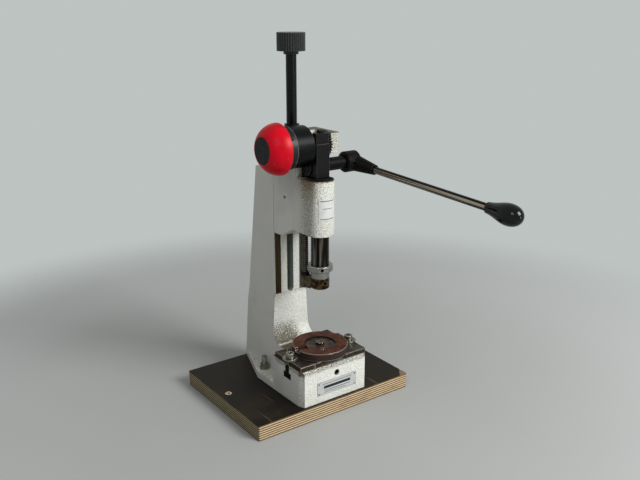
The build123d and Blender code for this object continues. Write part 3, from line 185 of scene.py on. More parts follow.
def new_piece(name, points, faces):
    """A piece from its points and faces, put into the mesh at once."""
    mesh = bpy.data.meshes.new(name)
    mesh.from_pydata(points.tolist(), [], faces)
    mesh.polygons.foreach_set("use_smooth", np.ones(len(mesh.polygons), bool))
    mesh.update()
    piece = bpy.data.objects.new(name, mesh)
    bpy.context.scene.collection.objects.link(piece)
    return piece


wall_grey = shade(188, 194, 192)
room = Finish(bpy.context.scene.world or bpy.data.worlds.new("room"))
bpy.context.scene.world = room.owner
seen_rays = (room.node("ShaderNodeLightPath", {}, {}, "Is Camera Ray")
             + room.node("ShaderNodeLightPath", {}, {}, "Is Glossy Ray")
             + room.node("ShaderNodeLightPath", {}, {}, "Is Transmission Ray"))
room_light = room.node("ShaderNodeBackground", {}, {"Color": (1.0, 1.0, 1.0, 1.0), "Strength": 0.34})
room_wall = room.node("ShaderNodeBackground", {}, {"Color": wall_grey, "Strength": 1.0})
room_mix = room.node("ShaderNodeMixShader", {}, {0: seen_rays, 1: room_light, 2: room_wall})
room.node("ShaderNodeOutputWorld", {}, {"Surface": room_mix})

press_middle = Vector((0.0, 0.02, 0.2))


def lamp(name, place, wide, tall, watts):
    """A flat lamp that points at the middle of the press. It lights and is mirrored, but isn't seen."""
    light = bpy.data.lights.new(name, "AREA")
    light.shape = "RECTANGLE"
    light.size = wide
    light.size_y = tall
    light.energy = watts
    made = bpy.data.objects.new(name, light)
    made.visible_camera = False
    aim = press_middle - Vector(place)
    made.matrix_world = Matrix.Translation(place) @ aim.to_track_quat("-Z", "Y").to_matrix().to_4x4()
    bpy.context.scene.collection.objects.link(made)


lamp("right_lamp", (0.60, -1.50, 1.30), 0.9, 0.9, 38.5)
lamp("left_lamp", (-1.10, -0.75, 1.30), 0.5, 0.5, 3.5)
lamp("strip_lamp", (0.50, -1.20, 0.22), 0.07, 0.50, 1.1)

floor_half = 3.0
floor_drop = 0.0004      # clear of the board's underside
floor_corners = np.array([[-1, -1, 0], [1, -1, 0], [1, 1, 0], [-1, 1, 0]]) * floor_half
room_floor = new_piece("room_floor", floor_corners - [0, 0, floor_drop], [[0, 1, 2, 3]])
floor_finish = new_finish("floor_finish")
floor_out = floor_finish.node("ShaderNodeVectorMath", {"operation": "LENGTH"},
                              {0: floor_finish.place()}, "Value")
floor_tone_and_light = floor_finish.mix(floor_finish.cloud(3.0), shade(160, 162, 160), shade(172, 174, 172))
# Painted light: the floor is painted lighter towards its far edge, to offset the lamp's fall-off there.
floor_tone_and_light = floor_finish.mix(floor_finish.rise(floor_out, 0.15, 0.60), floor_tone_and_light, shade(184, 187, 185))
floor_finish.cover({"Base Color": floor_tone_and_light, "Roughness": 0.75, "Specular IOR Level": 0.2,
                    "Alpha": floor_finish.fall(floor_out, 0.52, 0.78)})
dress(room_floor, floor_finish.owner)


# ------------------------------------------------------------ plywood board
# Thirteen birch plies, 18 mm thick, with a dark phenolic film on both faces.
# The film is chipped round the two wood-screw holes and at the front right corner.
plywood = new_finish("film_faced_plywood")
board_x, board_y, board_z = plywood.parts(plywood.place())
look_x, look_z = plywood.parts(plywood.facing(), "XZ")
ply_t = 0.018 / 13
hole_x, hole_y = 0.0965, 0.052
board_right, board_front = 0.1095, -0.0344

wobble = (plywood.cloud(60.0, 2.0) - 0.5) * 0.00045
ply_count = (board_z + wobble) * (0.5 / ply_t)
ply_phase = plywood.node("ShaderNodeMath", {"operation": "FRACT"}, {0: ply_count + 0.25})
long_ply = plywood.rise(abs(ply_phase - 0.5), 0.20, 0.27)
pores = plywood.cloud(420.0, 4.0, (1.0, 1.0, 5.0))
smear = plywood.cloud(34.0, 3.0, (1.0, 1.0, 3.0))
# Painted shade: the plies are painted darker on faces that look left, away from the main lamp.
left_side_shade = plywood.rise(0.0 - look_x, 0.3, 0.8)
pale_ply = plywood.mix(left_side_shade, shade(204, 182, 146), shade(150, 140, 112))
dark_ply = plywood.mix(left_side_shade, shade(100, 76, 54), shade(66, 56, 42))
end_grain = plywood.mix(long_ply, dark_ply, pale_ply)
end_grain = plywood.mix(plywood.rise(pores, 0.50, 0.75) * 0.45, end_grain, shade(96, 70, 46))
end_grain = plywood.mix(plywood.rise(smear, 0.52, 0.80) * 0.5, end_grain, shade(84, 66, 46))

film_blotch = plywood.rise(plywood.cloud(26.0, 3.0), 0.42, 0.66)
film_colour = plywood.mix(film_blotch, shade(25, 20, 15), shade(40, 34, 27))
hairline = plywood.rise(plywood.cloud(190.0, 2.0, (1.0, 0.06, 1.0)), 0.70, 0.78)
film_colour = plywood.mix(hairline * 0.35, film_colour, shade(110, 100, 86))
hole_far = plywood.away(abs(board_x) - hole_x, board_y - hole_y)
chip_edge = (plywood.cloud(500.0, 2.0) - 0.5) * 0.0028
hole_chip = plywood.fall(hole_far + chip_edge, 0.0034, 0.0042)
corner_run = (board_right - board_x) + (board_y - board_front) * 0.8
corner_chip = plywood.fall(corner_run + chip_edge * 2.0, 0.011, 0.0125)
rim_wear = plywood.edges(0.0010) * plywood.rise(plywood.cloud(70.0, 3.0), 0.35, 0.6)
film_colour = plywood.mix(rim_wear * 0.8, film_colour, shade(140, 112, 82))
film_colour = plywood.mix(hole_chip * 0.9, film_colour, shade(206, 184, 150))
film_colour = plywood.mix(corner_chip * 0.85, film_colour, shade(134, 112, 92))

film_face = plywood.rise(abs(look_z), 0.6, 0.9)
board_colour = plywood.mix(film_face, end_grain, film_colour)
board_rough = 0.82 - film_face * 0.28 + film_blotch * film_face * 0.12
board_relief = (1.0 - film_face) * (long_ply * 0.6 + pores) + film_face * plywood.cloud(900.0) * 0.25
plywood.cover({"Base Color": board_colour, "Roughness": board_rough, "Specular IOR Level": 0.18,
               "Normal": plywood.bump(board_relief, 0.00022, 0.0006)}, "plywood_board")


# ------------------------------------------------------------ board bolts and other zinc-plated screws
# Two M6 bolts come up through the board and the foot, with washers and nuts, and their ends show
# a fine thread. They, the clamp and jaw screws and the label's rivets are zinc-plated and dull.
def steel(name, colour, stain, rough, nodes, wear=shade(200, 196, 186), metal=1.0, grain=(1.0, 1.0, 1.0),
          stain_from=0.45, edge=0.0004, edge_share=0.8, relief=0.00003, shine=0.5):
    """Metal with cloudy stains, a colour of its own on its edges and fine grain in its polish.

    wear is the colour of its edges: rubbed metal on most pieces, painted shade on the insert and
    partly a painted highlight on the pivot and its screw. edge is their width and edge_share how far
    they are coloured. grain stretches the polish, stain_from says how rare stains are, relief is the
    grain's depth and shine the shader's specular level.
    """
    skin = new_finish(name)
    blotch = skin.rise(skin.cloud(150.0, 4.0), stain_from, stain_from + 0.25)
    fine = skin.cloud(1700.0, 3.0, grain)
    # Edges: rubbed metal, and on the insert and pivot painted shade and painted highlight.
    rubbed = skin.edges(edge) * edge_share
    tint = skin.mix(blotch, colour, stain)
    tint = skin.mix(skin.rise(fine, 0.35, 0.75) * 0.35, tint, stain)
    tint = skin.mix(rubbed, tint, wear)
    skin.cover({"Base Color": tint, "Metallic": metal, "Specular IOR Level": shine,
                "Roughness": rough + blotch * 0.14 + fine * 0.10 - rubbed * 0.12,
                "Normal": skin.bump(fine, relief, edge * 0.6)}, *nodes)
    return skin.owner


zinc = steel("zinc_steel", shade(150, 148, 138), shade(92, 86, 72), 0.30,
             ["board_bolts", "board_washers", "board_nuts", "clamp_washers", "clamp_screws",
              "jaw_screws", "label_rivets"])


def thread(middle_x, middle_y, low, high, pitch, root, crest):
    """Points and faces of a threaded rod's skin, on a grid of heights and angles.

    Its radius goes up from root to crest and back once in each pitch, and this wave climbs
    one pitch in a turn. It narrows to nothing over the last pitch at each end, where a
    point in the middle closes it.
    """
    turn = np.linspace(0.0, 2.0 * np.pi, 36, endpoint=False)[None, :]
    height = np.linspace(low, high, int((high - low) / pitch) * 8 + 1)[:, None]
    wave = (height - low) / pitch - turn / (2.0 * np.pi)
    ridge = 1.0 - np.abs(2.0 * (wave - np.floor(wave)) - 1.0)
    near_end = np.clip(np.minimum(height - low, high - height) / pitch, 0.0, 1.0)
    radius = root + (crest - root) * np.clip(ridge * 1.5 - 0.1, 0.0, 1.0) * near_end
    wall = np.stack([middle_x + radius * np.cos(turn), middle_y + radius * np.sin(turn),
                     height + 0.0 * turn], axis=-1).reshape(-1, 3)
    points = np.vstack([wall, [[middle_x, middle_y, low], [middle_x, middle_y, high]]])
    columns = np.arange(turn.size)
    ring_start = np.arange(height.size - 1)[:, None] * turn.size
    here = ring_start + columns
    beside = ring_start + (columns + 1) % turn.size
    above, beside_above = here + turn.size, beside + turn.size
    wall_faces = np.stack([here, beside, beside_above, above], axis=-1).reshape(-1, 4)
    low_faces = np.stack([beside[0], here[0], np.full_like(columns, len(wall))], axis=-1)
    high_faces = np.stack([above[-1], beside_above[-1], np.full_like(columns, len(wall) + 1)], axis=-1)
    return points, wall_faces.tolist() + low_faces.tolist() + high_faces.tolist()


bolt_x, bolt_y = 0.035, 0.0695
thread_low, thread_high = 0.0324, 0.0422      # from just inside the nut to just below the bolt's end
for bolt_side, side_x in (("left", -bolt_x), ("right", bolt_x)):
    bolt_points, bolt_faces = thread(side_x, bolt_y, thread_low, thread_high,
                                     pitch=0.001, root=0.00301, crest=0.00322)
    bolt_thread = new_piece("board_bolt_thread_" + bolt_side, bolt_points, bolt_faces)
    dress(bolt_thread, zinc)
    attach(bolt_thread, "frame")


# ------------------------------------------------------------ frame and head castings
# Grey iron, sprayed with cream-white structure paint. The guide's grooves and slot are bare
# machined iron, dark with oil; the slot and right groove are painted pale, as painted light
# against their shade. Dirt sits where hands and swarf reach the paint, and painted shade
# darkens sideways faces, the housing's left, the foot's top and a ring round the front plug.
def structure_paint(name, node, coarse, dirt_and_shade, rails=None, bare=None):
    """Lumpy spray paint on a casting: lumps about a millimetre wide, grey between them.

    Faces that look sideways are smoother and smudged, and greyer as painted shade. coarse is the
    lumps' strength. The dirt function gives a mask and a colour for dirt and painted shade, the bare
    one a mask and a colour for bare iron and painted light, and rails gives a mask.
    """
    paint = new_finish(name)
    side_shade_and_smooth = paint.rise(abs(paint.parts(paint.facing(), "X")[0]), 0.74, 0.96)
    lumps = paint.cloud(560.0, 2.0)
    specks = paint.cloud(980.0, 3.0, shift=3.0)
    base = paint.mix(paint.rise(paint.cloud(28.0, 3.0), 0.35, 0.7),
                     shade(229, 230, 222), shade(217, 218, 209))
    base = paint.mix(paint.rise(0.60 - lumps, 0.02, 0.20) * (coarse - side_shade_and_smooth * 0.35), base,
                     shade(186, 187, 175))
    base = paint.mix(paint.rise(specks, 0.57, 0.68) * (coarse - side_shade_and_smooth * 0.34), base,
                     shade(138, 138, 122))
    # Painted shade: faces that look sideways are greyed, as the shade on them.
    base = paint.mix(side_shade_and_smooth * 0.75, base, shade(178, 179, 174))
    if rails:
        rubbed = rails(paint)
        base = paint.mix(rubbed, base, shade(196, 197, 190))
        base = paint.mix(paint.edges(0.0007) * rubbed, base, shade(92, 88, 78))
    smudge = paint.rise(paint.cloud(17.0, 4.0, shift=11.0), 0.52, 0.68) * side_shade_and_smooth * 0.22
    base = paint.mix(smudge, base, shade(132, 130, 122))
    # Dirt and painted shade, mixed through the lumps and specks.
    soil_and_shade, soil_and_shade_colour = dirt_and_shade(paint)
    soil_and_shade_mask = paint.rise(soil_and_shade + (specks - 0.5) * 1.9 + (lumps - 0.5) * 0.9, 0.30, 0.90)
    base = paint.mix(soil_and_shade_mask, base, soil_and_shade_colour)
    knocked = paint.edges(0.0009) * paint.rise(paint.cloud(130.0, 3.0, shift=7.0), 0.56, 0.66)
    base = paint.mix(knocked * 0.8, base, shade(116, 108, 92))
    rough = 0.50 + lumps * 0.15
    metal = 0.0
    relief = (lumps + specks * 0.6) * (1.0 - side_shade_and_smooth * 0.85)
    if bare:
        iron, iron_and_slot_light_colour = bare(paint)
        base = paint.mix(iron, base, iron_and_slot_light_colour)
        rough = rough - iron * 0.18
        metal = iron * 0.3
        relief = relief * (1.0 - iron)
    paint.cover({"Base Color": base, "Roughness": rough, "Metallic": metal, "Specular IOR Level": 0.4,
                 "Normal": paint.bump(relief, 0.0024 * coarse, 0.0012)}, node)


block_top, foot_top = 0.062, 0.026
guide_foot, guide_front, column_top = 0.1237, 0.0613, 0.276


def rail_faces(paint):
    """1 on the guide's rails, whose paint is rubbed thin and smooth by the head's slide."""
    y, z = paint.parts(paint.place(), "YZ")
    return (paint.rise(z, guide_foot - 0.0017, guide_foot + 0.0003)
            * paint.fall(y, guide_front + 0.0027, guide_front + 0.0031) * 0.8)


def frame_dirt_and_shade(paint):
    """Swarf dust low on the column behind the anvil and on the block's top rim, and dust with painted
    shade on the foot's top.

    A dark ring round the plug in the block's front is a painted shadow, as of a countersunk rim.
    """
    x, y, z = paint.parts(paint.place())
    out_x, out_y, out_z = paint.parts(paint.facing())
    plug_x, plug_z = 0.002, 0.0503
    to_front = paint.rise(0.0 - out_y, 0.15, 0.45)
    on_block = paint.fall(y, 0.024, 0.030)
    behind_anvil = (paint.band(z, block_top - 0.006, block_top, block_top, block_top + 0.046)
                    * paint.rise(y, 0.020, 0.034) * paint.fall(x, -0.004, 0.024) * to_front)
    top_rim = on_block * paint.band(z, block_top - 0.0085, block_top - 0.0025,
                                    block_top + 0.0005, block_top + 0.0020)
    bevel = paint.rise(0.0 - out_x, 0.3, 0.5) * paint.rise(0.0 - out_y, 0.3, 0.5) * on_block
    # Painted shadow: a dark ring round the plug, standing for the shadow of a countersunk rim.
    plug_rim_shadow = (paint.fall(paint.away(x - plug_x, z - plug_z), 0.0034, 0.0039)
                * paint.rise(0.0 - out_y, 0.6, 0.8) * on_block)
    # Dust and painted shade on the foot's top near the bolts.
    foot_dust_and_shade = (paint.fall(z, foot_top + 0.0002, foot_top + 0.0015) * paint.rise(y, 0.033, 0.045)
                 * paint.rise(out_z, 0.5, 0.9))
    rail_foot = (paint.band(z, guide_foot - 0.0067, guide_foot - 0.0027,
                            guide_foot + 0.0008, guide_foot + 0.0023)
                 * paint.fall(y, guide_front + 0.0007, guide_front + 0.0047) * to_front)
    soil_and_shade = (behind_anvil * 0.95 + top_rim * 0.62 + bevel * 0.58 + plug_rim_shadow * 1.6 + foot_dust_and_shade * 0.40
            + rail_foot * 0.42)
    return soil_and_shade, paint.mix(paint.cloud(90.0), shade(104, 100, 82), shade(78, 75, 62))


def bare_guide(paint):
    """1 inside the guide's grooves and slot, behind the rails' faces, and on the block's top.

    Oil has browned the iron in the left groove. Elsewhere the iron is painted a pale grey-green, as
    painted light against the shade deep in the slot.
    """
    x, y, z = paint.parts(paint.place())
    out_z = paint.parts(paint.facing(), "Z")[0]
    inside = (paint.band(y, guide_front + 0.0001, guide_front + 0.0004, 0.0745, 0.0750)
              * paint.fall(abs(x), 0.0218, 0.0222)
              * paint.band(z, guide_foot - 0.0067, guide_foot - 0.0047, column_top - 0.00005, column_top))
    machined_top = paint.rise(out_z, 0.9, 0.99) * paint.band(z, block_top - 0.0005, block_top - 0.0002,
                                                             block_top + 0.0002, block_top + 0.0005)
    oil_and_slot_light = paint.mix(paint.cloud(240.0, 3.0, (1.0, 1.0, 0.15)), shade(84, 72, 50), shade(140, 122, 90))
    # Painted light: the slot and right groove are painted pale against their shade.
    oil_and_slot_light = paint.mix(paint.rise(x, -0.012, -0.006), oil_and_slot_light, shade(136, 142, 136))
    return inside + machined_top, oil_and_slot_light


def head_dirt_and_shade(paint):
    """The housing's left is darkened, painted shade with olive dust through it, and a brown ring
    runs round its top, where the yoke drips.

    The arms that carry the drum's shaft are grimy in front and on top.
    """
    x, y, z = paint.parts(paint.place())
    housing_top, arm_foot, arm_top = 0.2747, 0.300, 0.3242
    front = paint.fall(y, 0.004, 0.030)
    # Painted shade: the housing's left is darkened, with olive dust in it.
    left = paint.fall(x, -0.0180, -0.0090) * front
    ring = front * paint.band(z, housing_top - 0.0022, housing_top - 0.0004,
                              housing_top + 0.0013, housing_top + 0.0023)
    drip = paint.rise(z, housing_top - 0.0347, housing_top - 0.0027) * front
    arm_front = paint.rise(z, arm_foot, arm_foot + 0.006) * paint.fall(y, 0.0045, 0.0060)
    on_arm_top = paint.rise(z, arm_top - 0.0012, arm_top - 0.0003)
    soil_and_shade = left * 0.70 + ring * 0.55 + drip * 0.28 + arm_front * 0.22 + on_arm_top * 1.4
    brown = paint.rise(z, housing_top - 0.0147, housing_top - 0.0022) * (1.0 - on_arm_top)
    dust = paint.mix(paint.rise(z, arm_foot, arm_foot + 0.002), shade(116, 114, 90), shade(96, 92, 84))
    return soil_and_shade, paint.mix(brown, dust, shade(102, 82, 58))


structure_paint("white_structure_paint", "frame_casting", 0.43, frame_dirt_and_shade, rail_faces, bare_guide)
structure_paint("white_structure_paint_head", "head_casting", 0.62, head_dirt_and_shade)


# ------------------------------------------------------------ label plate and blank label
# The front's plate is thin brushed aluminium with a plain black band and ruled lines.
# The housing carries a blank white film label, with three thin grey lines printed on it.
def ruled(finish, along, across, left, right, middle, half):
    """1 on a printed bar between left and right, half its height either side of its middle."""
    return (finish.band(along, left - 0.0002, left + 0.0002, right - 0.0002, right + 0.0002)
            * finish.fall(abs(across - middle), half - 0.0001, half + 0.0001))


plate_finish = new_finish("label_aluminium")
mark_x, mark_z = plate_finish.parts(plate_finish.place(), "XZ")
brushed = plate_finish.cloud(900.0, 3.0, (0.05, 1.0, 1.0))
plate_ink = ruled(plate_finish, mark_x, mark_z, -0.0170, 0.0215, 0.0362, 0.0017)
for bar_left, bar_right, bar_middle, bar_half in ((-0.0190, 0.0235, 0.0406, 0.00040),
                                                  (-0.0165, 0.0210, 0.0321, 0.00045),
                                                  (-0.0165, 0.0150, 0.0298, 0.00030)):
    plate_ink = plate_ink + ruled(plate_finish, mark_x, mark_z, bar_left, bar_right,
                                  bar_middle, bar_half) * 0.8
plate_middle_x, plate_middle_z = 0.002, 0.0355
plate_inside = (plate_finish.fall(abs(mark_x - plate_middle_x), 0.02725, 0.02745)
                * plate_finish.fall(abs(mark_z - plate_middle_z), 0.00775, 0.00795))
plate_colour = plate_finish.mix(plate_finish.rise(brushed, 0.3, 0.7),
                                shade(206, 208, 206), shade(182, 185, 184))
plate_colour = plate_finish.mix((1.0 - plate_inside) * 0.35, plate_colour, shade(120, 122, 122))
plate_colour = plate_finish.mix(plate_ink, plate_colour, shade(24, 24, 26))
plate_finish.cover({"Base Color": plate_colour, "Roughness": 0.42 + brushed * 0.2,
                    "Metallic": 0.35 - plate_ink * 0.3,
                    "Normal": plate_finish.bump(brushed, 0.00002, 0.0002)}, "label_plate")

label = new_finish("label_film")
label_x, label_y, label_z = label.parts(label.place())
label_turn = label.node("ShaderNodeMath", {"operation": "ARCTAN2"}, {0: label_y, 1: label_x})
label_radius = 0.0162
label_along = (label_turn + math.radians(93.0)) * label_radius
label_ink = ruled(label, label_along, label_z, -0.0092, 0.0092, 0.2527, 0.00042)
label_ink = label_ink + ruled(label, label_along, label_z, -0.0092, 0.0092, 0.2322, 0.00042)
label_ink = label_ink + ruled(label, label_along, label_z, -0.0060, 0.0060, 0.2440, 0.00040) * 0.8
label_white = label.mix(label.rise(label.cloud(160.0, 3.0), 0.45, 0.75) * 0.5,
                        shade(204, 205, 202), shade(180, 180, 174))
label_white = label.mix(label_ink * 0.95, label_white, shade(58, 52, 52))
label_white = label.mix(label.edges(0.0006) * 0.5, label_white, shade(150, 146, 134))
label.cover({"Base Color": label_white, "Roughness": 0.32 + label.cloud(300.0) * 0.2,
             "Normal": label.bump(label.cloud(260.0, 2.0), 0.00012, 0.0003)}, "blank_label")


# ------------------------------------------------------------ table plate
# Ground steel, blued and then darkened by oil. It is scratched, its edges are painted bright,
# partly rubbed by work that slides over them and partly a painted highlight, and the anvil disc
# has worn a bright ring round itself.
table_steel = new_finish("table_steel")
table_x, table_y = table_steel.parts(table_steel.place(), "XY")
ring_radius = 0.0385
table_blotch = table_steel.rise(table_steel.cloud(110.0, 4.0), 0.40, 0.66)
table_grain = table_steel.cloud(1500.0, 3.0)
worn_ring = table_steel.fall(abs(table_steel.away(table_x, table_y) - ring_radius), 0.0002, 0.0007)
worn_ring = worn_ring * table_steel.rise(table_steel.cloud(60.0, 3.0), 0.44, 0.56)
scratches = table_steel.rise(table_steel.cloud(420.0, 2.0, (0.05, 1.0, 1.0)), 0.66, 0.72) * 0.35
# Edges painted bright: partly rubbing, partly a painted highlight.
table_rub_and_highlight = table_steel.edges(0.0008)
table_colour = table_steel.mix(table_blotch, shade(66, 58, 50), shade(46, 40, 34))
table_colour = table_steel.mix(table_grain * 0.3, table_colour, shade(30, 26, 22))
table_colour = table_steel.mix(scratches, table_colour, shade(128, 118, 106))
table_colour = table_steel.mix(worn_ring * 0.7, table_colour, shade(168, 156, 142))
table_colour = table_steel.mix(table_rub_and_highlight, table_colour, shade(196, 184, 170))
table_steel.cover({"Base Color": table_colour, "Metallic": 0.65,
                   "Roughness": 0.36 + table_blotch * 0.16 - table_rub_and_highlight * 0.1,
                   "Normal": table_steel.bump(table_grain, 0.00003, 0.0004)}, "table_plate")


# ------------------------------------------------------------ anvil disc, its insert and pivot
# A turned disc, 66 mm across, that has rusted an even red-brown. Turning left fine rings on its
# face. Its rim is painted pale, partly polish from handling and partly a painted highlight, and a
# painted shadow darkens the recess round the insert. The insert is browned, with its edges painted
# dark as the shade of the gap round it. The pivot and screw are brown with edges painted bright,
# partly wear and partly painted highlights.
rust = new_finish("rusted_steel")
rust_x, rust_y = rust.parts(rust.place(), "XY")
rust_up = rust.parts(rust.facing(), "Z")[0]
rings_turn = 9500.0      # radians in a metre, a ring every 0.66 mm
disc_out = rust.away(rust_x, rust_y)
rings = rust.node("ShaderNodeMath", {"operation": "SINE"}, {0: disc_out * rings_turn})
rust_blotch = rust.rise(rust.cloud(120.0, 4.0), 0.36, 0.66)
on_face = rust.rise(rust_up, 0.6, 0.9)
rust_colour = rust.mix(rust_blotch, shade(80, 42, 25), shade(58, 31, 19))
rust_colour = rust.mix(rust.rise(rust.cloud(700.0, 3.0), 0.56, 0.74) * 0.5, rust_colour,
                       shade(46, 26, 20))
rust_colour = rust.mix((1.0 - on_face) * 0.85, rust_colour, shade(50, 42, 37))
# Painted shadow: the recess round the insert is painted near black, as the shade in the gap.
inner_gap_shadow = rust.fall(disc_out, 0.0181, 0.0190)
rust_colour = rust.mix(inner_gap_shadow * 0.85, rust_colour, shade(18, 12, 10))
# Rim painted pale: partly polish from handling, partly a painted highlight.
disc_rim_wear_and_highlight = rust.edges(0.0013) * rust.rise(disc_out, 0.028, 0.030)
rust_colour = rust.mix(disc_rim_wear_and_highlight * 0.9, rust_colour, shade(206, 194, 184))
rust.cover({"Base Color": rust_colour, "Metallic": disc_rim_wear_and_highlight * 0.7, "Specular IOR Level": 0.18,
            "Roughness": 0.52 + rust_blotch * 0.14 - disc_rim_wear_and_highlight * 0.25,
            "Normal": rust.bump(rings * 0.5 + rust.cloud(1500.0), 0.00003, 0.0004)}, "anvil_disc")
# Painted shade: the insert's edges are painted dark, as the shade of the gap round it.
steel("brown_insert_steel", shade(70, 50, 42), shade(34, 25, 21), 0.32, ["anvil_insert"],
      wear=shade(22, 16, 13), metal=0.3, stain_from=0.42, edge=0.0009, shine=0.3)
# Edges painted bright: partly wear, partly a painted highlight.
steel("pivot_steel", shade(104, 84, 72), shade(48, 37, 32), 0.18, ["anvil_pivot", "anvil_insert_screw"],
      wear=shade(232, 222, 212), metal=0.95, stain_from=0.40, edge=0.0010, edge_share=0.9)


# ------------------------------------------------------------ slide jaw, spindle nut and clock spring
# Working pieces that stay inside: the head's loose jaw on the guide, the nut in the column's
# slot that the spindle turns in, and the drum's spring. Machined and blued, brown with oil.
steel("dark_oxide_steel", shade(70, 62, 54), shade(46, 40, 34), 0.38,
      ["spindle_nut", "slide_jaw", "clock_spring"],
      wear=shade(176, 164, 152), metal=0.7, stain_from=0.40, edge=0.0006, edge_share=0.9)


# ------------------------------------------------------------ ram
# A hardened and ground bar, dark with oil, with bright streaks along the travel.
# Its nose is browned, and above the housing it's a flat black rack bar.
ram_finish = new_finish("ram_steel")
ram_z = ram_finish.parts(ram_finish.place(), "Z")[0]
nose_top, rack_foot = 0.1600, 0.2680
streaks = ram_finish.cloud(420.0, 3.0, (1.0, 1.0, 0.03))
ram_colour = ram_finish.mix(ram_finish.rise(streaks, 0.48, 0.66), shade(30, 28, 25), shade(124, 118, 108))
nose_brown = ram_finish.mix(ram_finish.rise(ram_finish.cloud(200.0, 3.0), 0.4, 0.65),
                            shade(40, 29, 19), shade(92, 74, 52))
ram_colour = ram_finish.mix(ram_finish.fall(ram_z, nose_top - 0.0005, nose_top), ram_colour, nose_brown)
rack_black = ram_finish.mix(ram_finish.rise(ram_finish.cloud(180.0, 3.0), 0.4, 0.7),
                            shade(8, 8, 8), shade(18, 17, 15))
rack_part = ram_finish.rise(ram_z, rack_foot - 0.0005, rack_foot)
ram_colour = ram_finish.mix(rack_part, ram_colour, rack_black)
ram_colour = ram_finish.mix(ram_finish.edges(0.0005) * 0.4, ram_colour, shade(150, 142, 130))
ram_finish.cover({"Base Color": ram_colour, "Metallic": 0.92 - rack_part * 0.92,
                  "Specular IOR Level": 0.18,
                  "Roughness": 0.24 + streaks * 0.12 + rack_part * 0.18,
                  "Normal": ram_finish.bump(streaks, 0.00002, 0.0003)}, "ram", "ram_top_screw")


# ------------------------------------------------------------ ram band, stop collar and drum shaft
# Turned and polished steel with a few oily stains. The band and the split
# collar are clamped on the ram near its nose, and the shaft carries the spring drum.
steel("bright_steel", shade(150, 149, 144), shade(78, 74, 66), 0.20,
      ["ram_band", "drum_shaft", "stop_collar"], wear=shade(236, 235, 230), grain=(1.0, 1.0, 0.2),
      stain_from=0.56, edge=0.0006, edge_share=0.8)


# ------------------------------------------------------------ stop rod and its arm
# An 8 mm threaded rod. Its grooves are painted black, partly oil and partly painted shade,
# and its crests pale, partly rubbed and partly a painted highlight.
# It stands on a browned steel arm on the ram's nose, and a nut locks it there.
stop_rod_finish = new_finish("threaded_black")
spot_x, spot_y = stop_rod_finish.parts(stop_rod_finish.place(), "XY")
stop_rod_x, stop_rod_y = -0.0082, 0.0179
# Painted highlight and shade: pale on the thread's crests, near black in its grooves.
crest_wear_and_highlight = stop_rod_finish.rise(stop_rod_finish.away(spot_x - stop_rod_x, spot_y - stop_rod_y),
                                   0.00340, 0.00392)
stop_oil = stop_rod_finish.cloud(300.0, 3.0)
stop_colour = stop_rod_finish.mix(crest_wear_and_highlight * 0.85, shade(10, 9, 8), shade(104, 98, 86))
stop_colour = stop_rod_finish.mix(stop_rod_finish.rise(stop_oil, 0.50, 0.70) * 0.6, stop_colour,
                                  shade(40, 36, 30))
stop_rod_finish.cover({"Base Color": stop_colour, "Metallic": crest_wear_and_highlight * 0.5,
                       "Roughness": 0.30 + stop_oil * 0.15, "Specular IOR Level": 0.2,
                       "Normal": stop_rod_finish.bump(stop_oil, 0.00003, 0.0002)}, "stop_rod")
steel("brown_steel", shade(98, 84, 62), shade(58, 48, 34), 0.42, ["stop_rod_arm"],
      wear=shade(140, 122, 98), metal=0.5, stain_from=0.38)


# ------------------------------------------------------------ lever: rod, hub and shaft
# An 8 mm round steel rod with a streaky, hand-browned polish. Pale bands along the flank and again
# underneath, dark between, are painted reflections. It sits in a forged black hub, pinned to a black
# shaft.
rod_finish = new_finish("lever_rod_steel")
rod_x, rod_y, rod_z = rod_finish.parts(rod_finish.place())
rod_axis_x, rod_axis_z, rod_radius = 0.063, 0.2808, 0.004
rod_droop = math.tan(math.radians(2.56))
up_x, up_z = 0.32, 0.947      # up, and leaning a little to the right
off_axis_x = rod_x - rod_axis_x
off_axis_z = rod_z - rod_y * rod_droop - rod_axis_z
rod_spot = rod_finish.node("ShaderNodeCombineXYZ", {}, {"X": rod_x, "Y": rod_y * 0.02, "Z": off_axis_z})
drawn = rod_finish.cloud(620.0, 3.0, spot=rod_spot)
rod_up = (off_axis_x * up_x + off_axis_z * up_z) * (1.0 / rod_radius) + (drawn - 0.5) * 0.16
# Painted reflections: pale bands round the rod at these angles from the up direction.
flank_reflection = rod_finish.band(rod_up, -0.42, -0.30, 0.22, 0.40)
under_reflection = rod_finish.band(rod_up, -0.86, -0.74, -0.60, -0.50)
rod_colour = rod_finish.mix(flank_reflection, shade(26, 23, 21), shade(176, 164, 148))
rod_colour = rod_finish.mix(under_reflection * 0.8, rod_colour, shade(150, 146, 138))
rod_colour = rod_finish.mix(rod_finish.rise(drawn, 0.52, 0.66) * 0.30, rod_colour, shade(64, 56, 48))
rod_finish.cover({"Base Color": rod_colour, "Metallic": 1.0, "Roughness": 0.18 + drawn * 0.12,
                  "Normal": rod_finish.bump(drawn, 0.00003, 0.0002)}, "lever_rod")
steel("forged_black", shade(13, 11, 10), shade(4, 4, 4), 0.38, ["lever_hub", "lever_shaft"],
      wear=shade(96, 86, 74), metal=0.1, stain_from=0.42, edge=0.0007, edge_share=0.4,
      relief=0.00006, shine=0.12)


